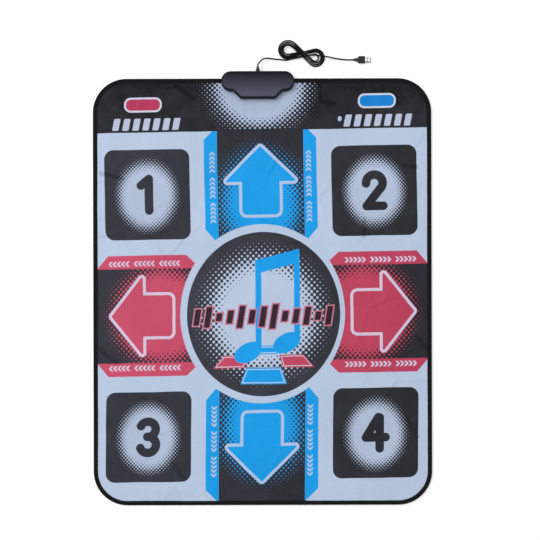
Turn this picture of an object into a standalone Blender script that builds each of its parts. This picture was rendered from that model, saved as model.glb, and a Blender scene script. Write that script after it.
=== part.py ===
"""A soft dance mat controller with a control box on its top edge and a USB cord. Metres, +Z up.

The mat lies in the XY plane on z = 0, with its top edge and the control box toward +Y. Its sheets are stacked
with a small clearance between them. Ten press zones are cut free of the upper sheets and move down on their own.
"""

import math

import bmesh
import bpy
import numpy as np
from mathutils import Matrix, Vector

CLEAR = 0.0003  # left between pieces that touch

# Mat
MAT_W = 0.738
MAT_L = 0.930
MAT_CORNER_R = 0.074
BINDING_FLANGE = 0.010
BINDING_TAPE = 0.0008

# Sheets, from the floor up
BACKING_T = 0.0008
BASE_FOAM_T = 0.0020
FILM_T = 0.0002
SPACER_T = 0.0015
TOP_FOAM_T = 0.0020
COVER_T = 0.0006

# Print layout: the press zones stand round the centre disc, and below a band along the top edge
TOP_BAND_L = 0.1140
RING_RX = 0.1800
RING_RY = 0.1945
CORNER_PAD_W = 0.1850
CORNER_PAD_L = 0.1976
CORNER_PAD_R = 0.018
PAD_TO_SIDE = 0.0293
PAD_TO_BAND = 0.0358
PAD_TO_BOTTOM = 0.0548
PANEL_HALF_W = 0.0930
SIDE_PANEL_HALF_W = 0.1030
PANEL_TO_FLANGE = 0.0015
PILL_W = 0.0826
PILL_L = 0.0325
PILL_R = 0.0090
PILL_TO_SIDE = 0.0732
PILL_TO_TOP = 0.03675

# Control box
BOX_X = -0.0088
BOX_OVERHANG = 0.0128
BOX_HALF_W = 0.0795
BOX_BODY_L = 0.0425
BOX_TONGUE_L = 0.0160
BOX_TONGUE_HALF_ROOT = 0.0545
BOX_TONGUE_HALF_TIP = 0.0375
BOX_H = 0.0180
BOX_PARTING_H = 0.0070
BOX_WALL = 0.0020
BOX_EDGE_R = 0.0033
BOX_LOBE_R = 0.0212
BOX_NOTCH = 0.0008
FRONT_SCREW_X = 0.060
FRONT_SCREW_SETBACK = 0.0355
REAR_SCREW_X = 0.040
REAR_SCREW_SETBACK = 0.0090
SCREW_R = 0.0015
SCREW_HEAD_R = 0.0034
SCREW_HEAD_H = 0.0012
SCREW_FIT = 0.0004
BOSS_R = 0.0032
BOARD_W = 0.070
BOARD_L = 0.022
BOARD_T = 0.0016
BOARD_POST_H = 0.0012
BOARD_SETBACK = 0.0150
CHIP_SIDE = 0.010
CHIP_T = 0.0012
TAIL_W = 0.030
TAIL_SETBACK = 0.0430
CLAMP_L = 0.005
CLAMP_H = 0.0025

# Cord and plug
CORD_D = 0.0033
CORD_GAP = 0.00063
CORD_RISE = 0.0041
RELIEF_R = 0.0052
RELIEF_TIP_R = 0.0024
RELIEF_L = 0.0110
RELIEF_NECK_R = 0.0036
RELIEF_FLANGE_R = 0.0046
HANK_FROM_EXIT = (0.0957, 0.0417)
HANK_TURN = math.radians(-15.5)
HANK_HALF_SPAN = 0.0315
HANK_LEFT_R = 0.0158
HANK_RIGHT_R = 0.0140
HANK_HALF_TURNS = 5
EXIT_HEADING = math.radians(8.0)
EXIT_BEND_R = 0.060
PLUG_FROM_EXIT = (0.2189, 0.0283)
PLUG_NECK_L = 0.0110
PLUG_BODY_L = 0.0150
PLUG_BODY_W = 0.0158
PLUG_BODY_T = 0.0080
PLUG_SHELL_L = 0.0122
PLUG_SHELL_W = 0.0120
PLUG_SHELL_T = 0.0045
PLUG_SHELL_WALL = 0.0004

# Places on the mat that follow from the margins
UP_PANEL_TOP = MAT_L / 2 - TOP_BAND_L
UPPER_PADS_Y = UP_PANEL_TOP - PAD_TO_BAND - CORNER_PAD_L / 2
LOWER_PADS_Y = -MAT_L / 2 + PAD_TO_BOTTOM + CORNER_PAD_L / 2
LAYOUT_Y = (UPPER_PADS_Y + LOWER_PADS_Y) / 2
CORNER_PAD_X = MAT_W / 2 - PAD_TO_SIDE - CORNER_PAD_W / 2
PILL_X = MAT_W / 2 - PILL_TO_SIDE - PILL_W / 2
PILL_Y = MAT_L / 2 - PILL_TO_TOP - PILL_L / 2

# Heights that follow from the stack
BASE_FOAM_Z = BACKING_T + CLEAR
LOWER_FILM_Z = BASE_FOAM_Z + BASE_FOAM_T + CLEAR
SPACER_Z = LOWER_FILM_Z + FILM_T + CLEAR
UPPER_FILM_Z = SPACER_Z + SPACER_T + CLEAR
TOP_FOAM_Z = UPPER_FILM_Z + FILM_T + CLEAR
COVER_Z = TOP_FOAM_Z + TOP_FOAM_T + CLEAR
COVER_TOP = COVER_Z + COVER_T
BINDING_TOP = COVER_TOP + CLEAR + BINDING_TAPE
BOX_Z = BINDING_TOP + CLEAR
PARTING_Z = BOX_Z + BOX_PARTING_H
BOX_REAR_Y = MAT_L / 2 + BOX_OVERHANG
CORD_STEP = CORD_D + CORD_GAP
HANK_AT = (BOX_X + HANK_FROM_EXIT[0], BOX_REAR_Y + HANK_FROM_EXIT[1])
PLUG_AT = (BOX_X + PLUG_FROM_EXIT[0], BOX_REAR_Y + PLUG_FROM_EXIT[1])


def clear_scene():
    for thing in list(bpy.data.objects):
        bpy.data.objects.remove(thing)


def collection(name):
    made = bpy.data.collections.new(name)
    bpy.context.scene.collection.children.link(made)
    return made


def material(name, color, roughness, metallic=0.0):
    made = bpy.data.materials.new(name)
    made.use_nodes = True
    shader = made.node_tree.nodes["Principled BSDF"]
    shader.inputs["Base Color"].default_value = (*color, 1.0)
    shader.inputs["Roughness"].default_value = roughness
    shader.inputs["Metallic"].default_value = metallic
    return made


clear_scene()
PARTS = collection("dance_mat_controller")
CUTTERS = collection("cutters")
PRINT = material("printed_cover", (0.30, 0.36, 0.46), 0.55)
PANEL = material("printed_panel", (0.04, 0.04, 0.054), 0.55)
BINDING = material("woven_binding", (0.012, 0.010, 0.012), 0.85)
BACKING = material("grip_rubber", (0.03, 0.03, 0.032), 0.9)
FOAM = material("foam", (0.55, 0.55, 0.52), 0.95)
FILM = material("contact_film", (0.62, 0.64, 0.60), 0.35)
CARBON = material("printed_carbon", (0.02, 0.02, 0.022), 0.5)
BOX = material("matte_box_plastic", (0.055, 0.057, 0.075), 0.5)
BOARD = material("board_laminate", (0.02, 0.16, 0.06), 0.45)
CHIP = material("chip_resin", (0.01, 0.01, 0.01), 0.4)
STEEL = material("zinc_steel", (0.6, 0.6, 0.62), 0.3, 1.0)
CORD = material("cord_jacket", (0.012, 0.012, 0.014), 0.4)
CONTACT = material("gilt_contact", (0.8, 0.6, 0.25), 0.3, 1.0)
TONGUE = material("plug_tongue_plastic", (0.85, 0.85, 0.85), 0.4)


def add(name, mesh, mat, smooth=False):
    """Put a mesh in the part as a named object, shaded smooth where it is round."""
    made = bpy.data.objects.new(name, mesh)
    PARTS.objects.link(made)
    mesh.materials.append(mat)
    if smooth:
        mesh.shade_smooth()
        mesh.set_sharp_from_angle(angle=math.radians(40))
    return made


def cutter(mesh):
    """Keep a mesh as a hidden wire cutter."""
    made = bpy.data.objects.new("cutter", mesh)
    CUTTERS.objects.link(made)
    made.hide_render = True
    made.display_type = "WIRE"
    return made


def boolean(target, other, operation="DIFFERENCE"):
    step = target.modifiers.new(operation.lower(), "BOOLEAN")
    step.operation = operation
    step.object = other


def curve_mesh(data, matrix=None):
    """Turn a curve into a welded mesh in world space."""
    holder = bpy.data.objects.new("curve", data)
    CUTTERS.objects.link(holder)
    holder.matrix_world = matrix or Matrix()
    bpy.context.view_layer.update()
    seen = holder.evaluated_get(bpy.context.evaluated_depsgraph_get())
    mesh = bpy.data.meshes.new_from_object(seen)
    mesh.transform(holder.matrix_world)
    bpy.data.objects.remove(holder)
    work = bmesh.new()
    work.from_mesh(mesh)
    bmesh.ops.remove_doubles(work, verts=work.verts, dist=1e-6)
    bmesh.ops.recalc_face_normals(work, faces=work.faces)
    work.to_mesh(mesh)
    work.free()
    return mesh


def slab(outlines, z0, z1, edge_r=0.0):
    """A flat plate between two heights. The first outline is its edge and the others are holes in it.
    With edge_r, the edges are rounded and the outline is the widest line of the plate."""
    data = bpy.data.curves.new("outline", "CURVE")
    data.dimensions = "2D"
    data.fill_mode = "BOTH"
    data.extrude = (z1 - z0) / 2 - edge_r
    data.bevel_depth = edge_r
    data.bevel_resolution = 2
    data.offset = -edge_r
    for outline in outlines:
        line = data.splines.new("POLY")
        line.points.add(len(outline) - 1)
        for point, (x, y) in zip(line.points, outline):
            point.co = (x, y, 0.0, 1.0)
        line.use_cyclic_u = True
    mesh = curve_mesh(data, Matrix.Translation((0.0, 0.0, (z0 + z1) / 2)))
    if len(outlines) == 1:
        join_flat_faces(mesh)
    return mesh


def join_flat_faces(mesh):
    """Make each flat cap one face, so that points in a line on its edge leave no thin triangles."""
    work = bmesh.new()
    work.from_mesh(mesh)
    bmesh.ops.dissolve_limit(work, angle_limit=math.radians(0.2), verts=[], edges=work.edges)
    work.to_mesh(mesh)
    work.free()


def tube(points, diameter, resolution):
    """A round tube along a list of points, with closed ends."""
    data = bpy.data.curves.new("tube", "CURVE")
    data.dimensions = "3D"
    data.bevel_depth = diameter / 2
    data.bevel_resolution = resolution
    data.use_fill_caps = True
    line = data.splines.new("POLY")
    line.points.add(len(points) - 1)
    for point, place in zip(line.points, points):
        point.co = (*place, 1.0)
    return curve_mesh(data)


def block(size, centre):
    """A box of a size about a centre."""
    work = bmesh.new()
    bmesh.ops.create_cube(work, size=1.0, matrix=Matrix.Translation(centre) @ Matrix.Diagonal((*size, 1.0)))
    mesh = bpy.data.meshes.new("block")
    work.to_mesh(mesh)
    work.free()
    return mesh


def rod(radius, start, end, sides=24, end_radius=None):
    """A cylinder or cone from one point to another."""
    start = Vector(start)
    along = Vector(end) - start
    place = Matrix.Translation(start + along / 2) @ along.to_track_quat("Z", "Y").to_matrix().to_4x4()
    work = bmesh.new()
    bmesh.ops.create_cone(
        work,
        cap_ends=True,
        segments=sides,
        radius1=radius,
        radius2=radius if end_radius is None else end_radius,
        depth=along.length,
        matrix=place,
    )
    mesh = bpy.data.meshes.new("rod")
    work.to_mesh(mesh)
    work.free()
    return mesh


def turned(name, profile, mat, place, sides=24):
    """A turned piece: a profile of (radius, height) from the top down, spun about Z and then placed."""
    mesh = bpy.data.meshes.new(name)
    mesh.from_pydata([(r, 0.0, z) for r, z in profile], [(i, i + 1) for i in range(len(profile) - 1)], [])
    made = add(name, mesh, mat)
    made.matrix_world = place
    spin = made.modifiers.new("spin", "SCREW")
    spin.steps = sides
    spin.render_steps = sides
    spin.use_merge_vertices = True
    spin.merge_threshold = 1e-5
    return made


def rounded_rect(width, length, radius, at=(0.0, 0.0), steps=5):
    """Points of a rectangle with round corners, anticlockwise."""
    points = []
    for quarter in range(4):
        side_x = 1 if quarter in (0, 3) else -1
        side_y = 1 if quarter < 2 else -1
        cx = at[0] + side_x * (width / 2 - radius)
        cy = at[1] + side_y * (length / 2 - radius)
        for step in range(steps + 1):
            angle = (quarter + step / steps) * math.pi / 2
            points.append((cx + radius * math.cos(angle), cy + radius * math.sin(angle)))
    return points


def circle(centre, radius, sides=12):
    turns = [2 * math.pi * k / sides for k in range(sides)]
    return [(centre[0] + radius * math.cos(a), centre[1] + radius * math.sin(a)) for a in turns]


# Press zones: each outline can be grown, which gives the window round it


def arrow_panel(side, grow=0.0, steps=10):
    """A panel that runs from the ring round the centre disc out to its side of the mat."""
    along_y = side in ("up", "down")
    sign = 1 if side in ("up", "right") else -1
    half = (PANEL_HALF_W if along_y else SIDE_PANEL_HALF_W) + grow
    across_r = (RING_RX if along_y else RING_RY) - grow
    along_r = (RING_RY if along_y else RING_RX) - grow
    mat_edge = (MAT_L if along_y else MAT_W) / 2 - BINDING_FLANGE - PANEL_TO_FLANGE
    if side == "up":
        far = UP_PANEL_TOP - LAYOUT_Y
    elif side == "down":
        far = mat_edge + LAYOUT_Y
    else:
        far = mat_edge
    points = [(half, far + grow), (-half, far + grow)]
    for step in range(steps + 1):
        across = -half + 2 * half * step / steps
        points.append((across, along_r * math.sqrt(1 - (across / across_r) ** 2)))
    if along_y:
        return [(a, LAYOUT_Y + sign * d) for a, d in points]
    return [(sign * d, LAYOUT_Y + a) for a, d in points]


def corner_pad(side_x, side_y, grow=0.0):
    at = (side_x * CORNER_PAD_X, UPPER_PADS_Y if side_y > 0 else LOWER_PADS_Y)
    return rounded_rect(CORNER_PAD_W + 2 * grow, CORNER_PAD_L + 2 * grow, CORNER_PAD_R + grow, at)


def pill(side_x, grow=0.0):
    at = (side_x * PILL_X, PILL_Y)
    return rounded_rect(PILL_W + 2 * grow, PILL_L + 2 * grow, PILL_R + grow, at, steps=4)


ZONES = {
    "up": lambda grow: arrow_panel("up", grow),
    "down": lambda grow: arrow_panel("down", grow),
    "left": lambda grow: arrow_panel("left", grow),
    "right": lambda grow: arrow_panel("right", grow),
    "corner_1": lambda grow: corner_pad(-1, 1, grow),
    "corner_2": lambda grow: corner_pad(1, 1, grow),
    "corner_3": lambda grow: corner_pad(-1, -1, grow),
    "corner_4": lambda grow: corner_pad(1, -1, grow),
    "select": lambda grow: pill(-1, grow),
    "start": lambda grow: pill(1, grow),
}
PRESS_TRAVEL = UPPER_FILM_Z - (LOWER_FILM_Z + FILM_T) - CLEAR


# Where the control box's screws and film tail go

FRONT_SCREW_Y = BOX_REAR_Y - FRONT_SCREW_SETBACK
REAR_SCREW_Y = BOX_REAR_Y - REAR_SCREW_SETBACK
TAIL_Y = BOX_REAR_Y - TAIL_SETBACK
FRONT_SCREWS = [(BOX_X + side * FRONT_SCREW_X, FRONT_SCREW_Y) for side in (-1, 1)]
REAR_SCREWS = [(BOX_X + side * REAR_SCREW_X, REAR_SCREW_Y) for side in (-1, 1)]


def screw_holes(radius):
    return [circle(at, radius) for at in FRONT_SCREWS]


def tail_slot():
    return rounded_rect(TAIL_W + 4 * CLEAR, FILM_T + 4 * CLEAR, 2 * CLEAR, (BOX_X, TAIL_Y), steps=1)


def mat_outline(inset):
    return rounded_rect(MAT_W - 2 * inset, MAT_L - 2 * inset, MAT_CORNER_R - inset, steps=9)


# Sheets that lie under the whole mat


def make_lower_sheets():
    inner = BINDING_TAPE + CLEAR
    head_hole = SCREW_HEAD_R + SCREW_FIT
    shank_hole = SCREW_R + SCREW_FIT
    backing = slab([mat_outline(BINDING_FLANGE + CLEAR), *screw_holes(head_hole)], 0.0, BACKING_T)
    add("grip_backing", backing, BACKING)
    base = slab([mat_outline(inner), *screw_holes(head_hole)], BASE_FOAM_Z, BASE_FOAM_Z + BASE_FOAM_T)
    add("base_foam", base, FOAM)
    lower = slab([mat_outline(inner), *screw_holes(shank_hole)], LOWER_FILM_Z, LOWER_FILM_Z + FILM_T)
    add("lower_film", lower, FILM)


# Sheets with a window round each press zone


def make_upper_sheets():
    outline = mat_outline(BINDING_TAPE + CLEAR)
    windows = [zone(CLEAR) for zone in ZONES.values()]
    holes = screw_holes(SCREW_R + SCREW_FIT)
    sheets = [
        ("spacer_foam", SPACER_Z, SPACER_T, FOAM, False),
        ("upper_film", UPPER_FILM_Z, FILM_T, FILM, False),
        ("top_foam", TOP_FOAM_Z, TOP_FOAM_T, FOAM, True),
        ("cover_sheet", COVER_Z, COVER_T, PRINT, True),
    ]
    for name, z, thick, mat, slotted in sheets:
        slots = [tail_slot()] if slotted else []
        add(name, slab([outline, *windows, *holes, *slots], z, z + thick), mat)


def make_press_zones():
    for name, zone in ZONES.items():
        outline = [zone(0.0)]
        add(f"{name}_contact", slab(outline, UPPER_FILM_Z, UPPER_FILM_Z + FILM_T), CARBON)
        add(f"{name}_foam", slab(outline, TOP_FOAM_Z, TOP_FOAM_Z + TOP_FOAM_T), FOAM)
        add(f"{name}_cover", slab(outline, COVER_Z, COVER_Z + COVER_T), PANEL)


def make_binding():
    """Tape folded round the mat's edge: a C section carried round the outline with mitred insets."""
    tape = BINDING_TAPE
    section = [
        (0.0, 0.0),
        (0.0, BINDING_TOP),
        (BINDING_FLANGE, BINDING_TOP),
        (BINDING_FLANGE, BINDING_TOP - tape),
        (tape, BINDING_TOP - tape),
        (tape, tape),
        (BINDING_FLANGE, tape),
        (BINDING_FLANGE, 0.0),
    ]
    work = bmesh.new()
    rings = []
    for inset, z in section:
        rings.append([work.verts.new((x, y, z)) for x, y in mat_outline(inset)])
    count = len(rings[0])
    for low, high in zip(rings, rings[1:] + rings[:1]):
        for k in range(count):
            after = (k + 1) % count
            work.faces.new((low[k], low[after], high[after], high[k]))
    bmesh.ops.recalc_face_normals(work, faces=work.faces)
    mesh = bpy.data.meshes.new("edge_binding")
    work.to_mesh(mesh)
    work.free()
    add("edge_binding", mesh, BINDING)


# Control box


def box_outline(inset, steps=8):
    """Edge of the box seen from above: two round lobes, and a tongue with slanted sides toward the mat."""
    rear = BOX_REAR_Y - inset
    front = BOX_REAR_Y - BOX_BODY_L + inset
    tip = BOX_REAR_Y - BOX_BODY_L - BOX_TONGUE_L + inset
    lobe_r = BOX_LOBE_R - inset
    slant = math.atan2(BOX_TONGUE_L, BOX_TONGUE_HALF_ROOT - BOX_TONGUE_HALF_TIP)
    root_half = BOX_TONGUE_HALF_ROOT - inset * math.tan(slant / 2)
    tip_half = BOX_TONGUE_HALF_TIP - inset * math.tan(slant / 2)
    lobe_x = BOX_HALF_W - BOX_LOBE_R
    right = []
    for step in range(2 * steps + 1):
        angle = -math.pi / 2 + math.pi * step / (2 * steps)
        rise = rear - lobe_r if angle > 0 else front + lobe_r
        right.append((lobe_x + lobe_r * math.cos(angle), rise + lobe_r * math.sin(angle)))
    right = [(tip_half, tip), (root_half, front + BOX_NOTCH), *right]
    left = [(-x, y) for x, y in reversed(right)]
    return [(BOX_X + x, y) for x, y in right + left]


def box_body(inset, z0, z1, edge_r):
    """The rounded form of the box between two heights, with only its top edge rounded."""
    mesh = slab([box_outline(inset)], 2 * z0 - z1, z1, edge_r)
    work = bmesh.new()
    work.from_mesh(mesh)
    everything = [*work.verts, *work.edges, *work.faces]
    bmesh.ops.bisect_plane(
        work, geom=everything, plane_co=(0.0, 0.0, z0), plane_no=(0.0, 0.0, -1.0), clear_outer=True
    )
    rim = [edge for edge in work.edges if edge.is_boundary]
    bmesh.ops.contextual_create(work, geom=rim)
    bmesh.ops.recalc_face_normals(work, faces=work.faces)
    work.to_mesh(mesh)
    work.free()
    return mesh


def relief_hole():
    at_y = BOX_REAR_Y - BOX_WALL / 2
    start = (BOX_X, at_y - BOX_WALL, PARTING_Z)
    end = (BOX_X, at_y + BOX_WALL, PARTING_Z)
    return cutter(rod(RELIEF_NECK_R + CLEAR, start, end))


def make_top_shell():
    low = PARTING_Z + CLEAR / 2
    top = BOX_Z + BOX_H
    shell = add("box_top_shell", box_body(0.0, low, top, BOX_EDGE_R), BOX, smooth=True)
    inner = box_body(BOX_WALL, low - BOX_WALL, top - BOX_WALL, BOX_EDGE_R - BOX_WALL)
    boolean(shell, cutter(inner))
    for x, y in [*FRONT_SCREWS, *REAR_SCREWS]:
        boss = rod(BOSS_R, (x, y, low + CLEAR), (x, y, top - BOX_WALL / 2))
        boolean(shell, cutter(boss), "UNION")
        pilot = rod(SCREW_R + CLEAR, (x, y, low - BOX_WALL), (x, y, top - 2 * BOX_WALL))
        boolean(shell, cutter(pilot))
    boolean(shell, relief_hole())


def make_bottom_shell():
    high = PARTING_Z - CLEAR / 2
    shell = add("box_bottom_shell", slab([box_outline(0.0)], BOX_Z, high), BOX, smooth=True)
    inner = slab([box_outline(BOX_WALL)], BOX_Z + BOX_WALL, high + BOX_WALL)
    boolean(shell, cutter(inner))
    floor = BOX_Z + BOX_WALL
    for x, y in [*FRONT_SCREWS, *REAR_SCREWS]:
        boolean(shell, cutter(rod(BOSS_R, (x, y, floor - BOX_WALL / 2), (x, y, high))), "UNION")
        boolean(shell, cutter(rod(SCREW_R + SCREW_FIT, (x, y, BOX_Z - BOX_WALL), (x, y, high + BOX_WALL))))
    for x, y in REAR_SCREWS:
        recess = rod(SCREW_HEAD_R - 2 * CLEAR, (x, y, BOX_Z - BOX_WALL), (x, y, BOX_Z + SCREW_HEAD_H))
        boolean(shell, cutter(recess))
    for side_x in (-1, 1):
        for side_y in (-1, 1):
            x = BOX_X + side_x * (BOARD_W / 2 - BOSS_R)
            y = BOARD_Y + side_y * (BOARD_L / 2 - BOSS_R)
            post = rod(BOSS_R / 2, (x, y, floor - BOX_WALL / 2), (x, y, floor + BOARD_POST_H), 12)
            boolean(shell, cutter(post), "UNION")
    boolean(shell, cutter(slab([tail_slot()], BOX_Z - BOX_WALL, floor + BOX_WALL)))
    boolean(shell, relief_hole())


BOARD_Y = BOX_REAR_Y - BOARD_SETBACK - BOARD_L / 2
BOARD_Z = BOX_Z + BOX_WALL + BOARD_POST_H + CLEAR


def make_board():
    add("circuit_board", block((BOARD_W, BOARD_L, BOARD_T), (BOX_X, BOARD_Y, BOARD_Z + BOARD_T / 2)), BOARD)
    chip_z = BOARD_Z + BOARD_T + CLEAR + CHIP_T / 2
    chip_at = (BOX_X + BOARD_W / 4, BOARD_Y, chip_z)
    add("controller_chip", block((CHIP_SIDE, CHIP_SIDE, CHIP_T), chip_at), CHIP)


def make_film_tail():
    """A strip that comes up out of the mat through the box floor and bends over onto the board."""
    low = TOP_FOAM_Z
    lie = BOARD_Z + BOARD_T + CLEAR
    front = TAIL_Y - FILM_T / 2
    reach = BOARD_Y - BOARD_L / 2 + CLAMP_L + 3 * CLEAR
    section = [
        (front, low),
        (front + FILM_T, low),
        (front + FILM_T, lie),
        (reach, lie),
        (reach, lie + FILM_T),
        (front, lie + FILM_T),
    ]
    mesh = slab([section], -TAIL_W / 2, TAIL_W / 2)
    turn = Matrix(((0, 0, 1, BOX_X), (1, 0, 0, 0), (0, 1, 0, 0), (0, 0, 0, 1)))
    mesh.transform(turn)
    add("flex_tail", mesh, FILM)
    clamp_z = lie + FILM_T + CLEAR + CLAMP_H / 2
    clamp_y = reach - CLAMP_L / 2
    add("tail_clamp", block((TAIL_W, CLAMP_L, CLAMP_H), (BOX_X, clamp_y, clamp_z)), BOX)


def make_screws():
    """Pan-head screws driven from below. The front two also pass through the mat and clamp it."""
    long_head = LOWER_FILM_Z - CLEAR - SCREW_HEAD_H
    short_head = BOX_Z + SCREW_HEAD_H - CLEAR - SCREW_HEAD_H
    tip = BOX_Z + BOX_H - 2 * BOX_WALL - CLEAR
    placed = [(at, long_head, SCREW_HEAD_R) for at in FRONT_SCREWS]
    placed += [(at, short_head, SCREW_HEAD_R - 3 * CLEAR) for at in REAR_SCREWS]
    for number, ((x, y), head, head_r) in enumerate(placed, 1):
        top = tip - head
        profile = [
            (0.0, top),
            (SCREW_R * 0.5, top),
            (SCREW_R, top - SCREW_R),
            (SCREW_R, SCREW_HEAD_H),
            (head_r, SCREW_HEAD_H),
            (head_r, SCREW_HEAD_H * 0.3),
            (head_r - SCREW_HEAD_H * 0.3, 0.0),
            (SCREW_R * 0.7, 0.0),
            (0.0, SCREW_HEAD_H * 0.6),
        ]
        turned(f"box_screw_{number}", profile, STEEL, Matrix.Translation((x, y, head)), 14)


def make_strain_relief():
    """Bellows sleeve: a flange inside the wall, a neck through it and a tapered tail with grooves outside."""
    inside = BOX_WALL + 0.0018
    profile = [
        (0.0, RELIEF_L),
        (RELIEF_TIP_R, RELIEF_L),
    ]
    grooves = 4
    for k in range(grooves):
        low = RELIEF_L * (1 - (k + 1) / (grooves + 1))
        share = 1 - (k + 1) / (grooves + 1)
        around = RELIEF_R + (RELIEF_TIP_R - RELIEF_R) * share
        profile += [(around, low + 0.0007), (around - 0.0006, low + 0.0005), (around - 0.0006, low), (around, low)]
    profile += [
        (RELIEF_R, CLEAR),
        (RELIEF_NECK_R, CLEAR),
        (RELIEF_NECK_R, -BOX_WALL - CLEAR),
        (RELIEF_FLANGE_R, -BOX_WALL - CLEAR),
        (RELIEF_FLANGE_R, -inside),
        (0.0, -inside),
    ]
    place = Matrix.Translation((BOX_X, BOX_REAR_Y, PARTING_Z)) @ Matrix.Rotation(-math.pi / 2, 4, "X")
    turned("strain_relief", profile, CORD, place, 18)


# Cord


def ease(u):
    """Smooth step from 0 to 1."""
    u = min(1.0, max(0.0, u))
    return u * u * (3 - 2 * u)


def hank_arcs():
    """Centre, radius and layer of each end bend of the figure-eight hank, in the order that the cord runs.
    Odd bends lie in the right loop and even ones in the left. The first layer spirals one way across the
    bundle and the second one back."""
    spread = CORD_STEP * HANK_HALF_TURNS / 4
    arcs = []
    for j in range(2 * HANK_HALF_TURNS + 1):
        layer = 0 if j <= HANK_HALF_TURNS else 1
        if j <= HANK_HALF_TURNS:
            shift = spread - CORD_STEP * j / 2
        elif j == HANK_HALF_TURNS + 1:
            shift = -spread - CORD_STEP / 4
        else:
            shift = CORD_STEP * (j - HANK_HALF_TURNS - 3) / 2
        if j % 2:
            arcs.append((Vector((HANK_HALF_SPAN, 0.0)), HANK_RIGHT_R - shift, layer))
        else:
            arcs.append((Vector((-HANK_HALF_SPAN, 0.0)), HANK_LEFT_R + shift, layer))
    return arcs


def bend_point(arc, right, heading):
    """Place on a bend where the cord has this heading: clockwise in the right loop, else anticlockwise."""
    centre, radius, _ = arc
    side = Vector((-math.sin(heading), math.cos(heading)))
    return centre + side * (radius if right else -radius)


def run_heading(left, right):
    """Angle and lean of the straight run that crosses between a left bend and a right bend."""
    between = right[0] - left[0]
    lean = math.asin((left[1] + right[1]) / between.length)
    return math.atan2(between.y, between.x), lean


def hank_plan(bend_step=math.radians(15.0), run_step=0.0055):
    """The hank's route in its own plane, as points (x, y, level, lift): level counts cord layers, and lift
    is 1 where the run passes over the crossing runs of the other direction."""
    arcs = hank_arcs()
    points = []

    def go_straight(start, end, levels, over):
        length = (end - start).length
        count = max(2, round(length / run_step))
        for k in range(count):
            u = k / count
            place = start.lerp(end, u)
            level = levels[0] + (levels[1] - levels[0]) * ease(u)
            points.append((place.x, place.y, level, over))

    def go_round(arc, right, h0, h1, level):
        count = max(2, round(abs(h1 - h0) / bend_step))
        for k in range(count):
            heading = h0 + (h1 - h0) * k / count
            place = bend_point(arc, right, heading)
            low_side = (heading - h0) / (h1 - h0) > 0.5
            over = low_side if right else not low_side
            points.append((place.x, place.y, level, over))

    for j in range(len(arcs) - 1):
        here, after = arcs[j], arcs[j + 1]
        if j % 2 == 0:  # from a left bend up to a right one, under the crossing
            base, lean = run_heading(here, after)
            heading = base + lean
            go_straight(bend_point(here, False, heading), bend_point(after, True, heading), (here[2], after[2]), 0)
            back_base, back_lean = run_heading(arcs[j + 2], after) if j + 2 < len(arcs) else (base, lean)
            leave = back_base - back_lean - math.pi
            go_round(after, True, heading, leave, after[2])
        else:  # from a right bend back to a left one, over the crossing
            base, lean = run_heading(after, here)
            heading = base + math.pi - lean
            go_straight(bend_point(here, True, heading), bend_point(after, False, heading), (here[2], after[2]), 1)
            if j + 2 < len(arcs):
                on_base, on_lean = run_heading(after, arcs[j + 2])
                go_round(after, False, heading, 2 * math.pi + on_base + on_lean, after[2])
    return points, arcs


def hank_route():
    """The hank's centreline in world space, from the lead to the tail."""
    plan, arcs = hank_plan()
    last = arcs[-1]
    exit_run = EXIT_HEADING + math.radians(17.5)
    rest = []
    base, lean = run_heading(last, arcs[-2])
    start = bend_point(last, False, exit_run)
    arrive = base + math.pi - lean
    bends = 14
    for k in range(bends):
        heading = arrive + (2 * math.pi + exit_run - arrive) * k / bends
        place = bend_point(last, False, heading)
        rest.append((place.x, place.y, 1.0, 1 if k < bends / 2 else 0))
    along = Vector((math.cos(exit_run), math.sin(exit_run)))
    corner = start + along * 0.0462
    cut = EXIT_BEND_R * math.tan((exit_run - EXIT_HEADING) / 2)
    bend_start = corner - along * cut
    bend_centre = bend_start + Vector((along.y, -along.x)) * EXIT_BEND_R
    steps = 7
    for k in range(steps):
        place = start.lerp(bend_start, k / steps)
        rest.append((place.x, place.y, 1.0 + ease((place.x - 0.012) / 0.022), 0))
    for k in range(5):
        heading = exit_run + (EXIT_HEADING - exit_run) * k / 4
        place = bend_centre + Vector((-math.sin(heading), math.cos(heading))) * EXIT_BEND_R
        rest.append((place.x, place.y, 1.0 + ease((place.x - 0.012) / 0.022), 0))
    onward = Vector((math.cos(EXIT_HEADING), math.sin(EXIT_HEADING)))
    from_here = Vector(rest[-1][:2])
    for k in range(1, 14):
        place = from_here + onward * (0.0048 * k)
        fall = ease((place.x - HANK_HALF_SPAN - HANK_RIGHT_R - 0.007) / 0.028)
        rest.append((place.x, place.y, 2.0 * (1 - fall), 0))
    turn = Matrix.Rotation(HANK_TURN, 2)
    world = []
    for x, y, level, over in plan + rest:
        far = math.hypot(x, y * 0.5)
        lift = 2.0 * ease((0.0400 - far) / 0.0260) if over else 0.0
        at = turn @ Vector((x, y))
        world.append((HANK_AT[0] + at.x, HANK_AT[1] + at.y, CORD_D / 2 + CORD_RISE * (level + lift)))
    return world


def least_gap(points, apart=0.014, step=0.001):
    """Least free space between stretches of the tube that aren't neighbours along it."""
    line = np.array(points)
    reach = np.concatenate([[0.0], np.cumsum(np.linalg.norm(np.diff(line, axis=0), axis=1))])
    at = np.arange(0.0, reach[-1], step)
    fine = np.stack([np.interp(at, reach, line[:, k]) for k in range(3)], axis=1)
    between = np.linalg.norm(fine[:, None] - fine[None], axis=2)
    near = np.abs(at[:, None] - at[None]) < apart
    between[near] = 1.0
    return between.min() - CORD_D, reach[-1]


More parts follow.
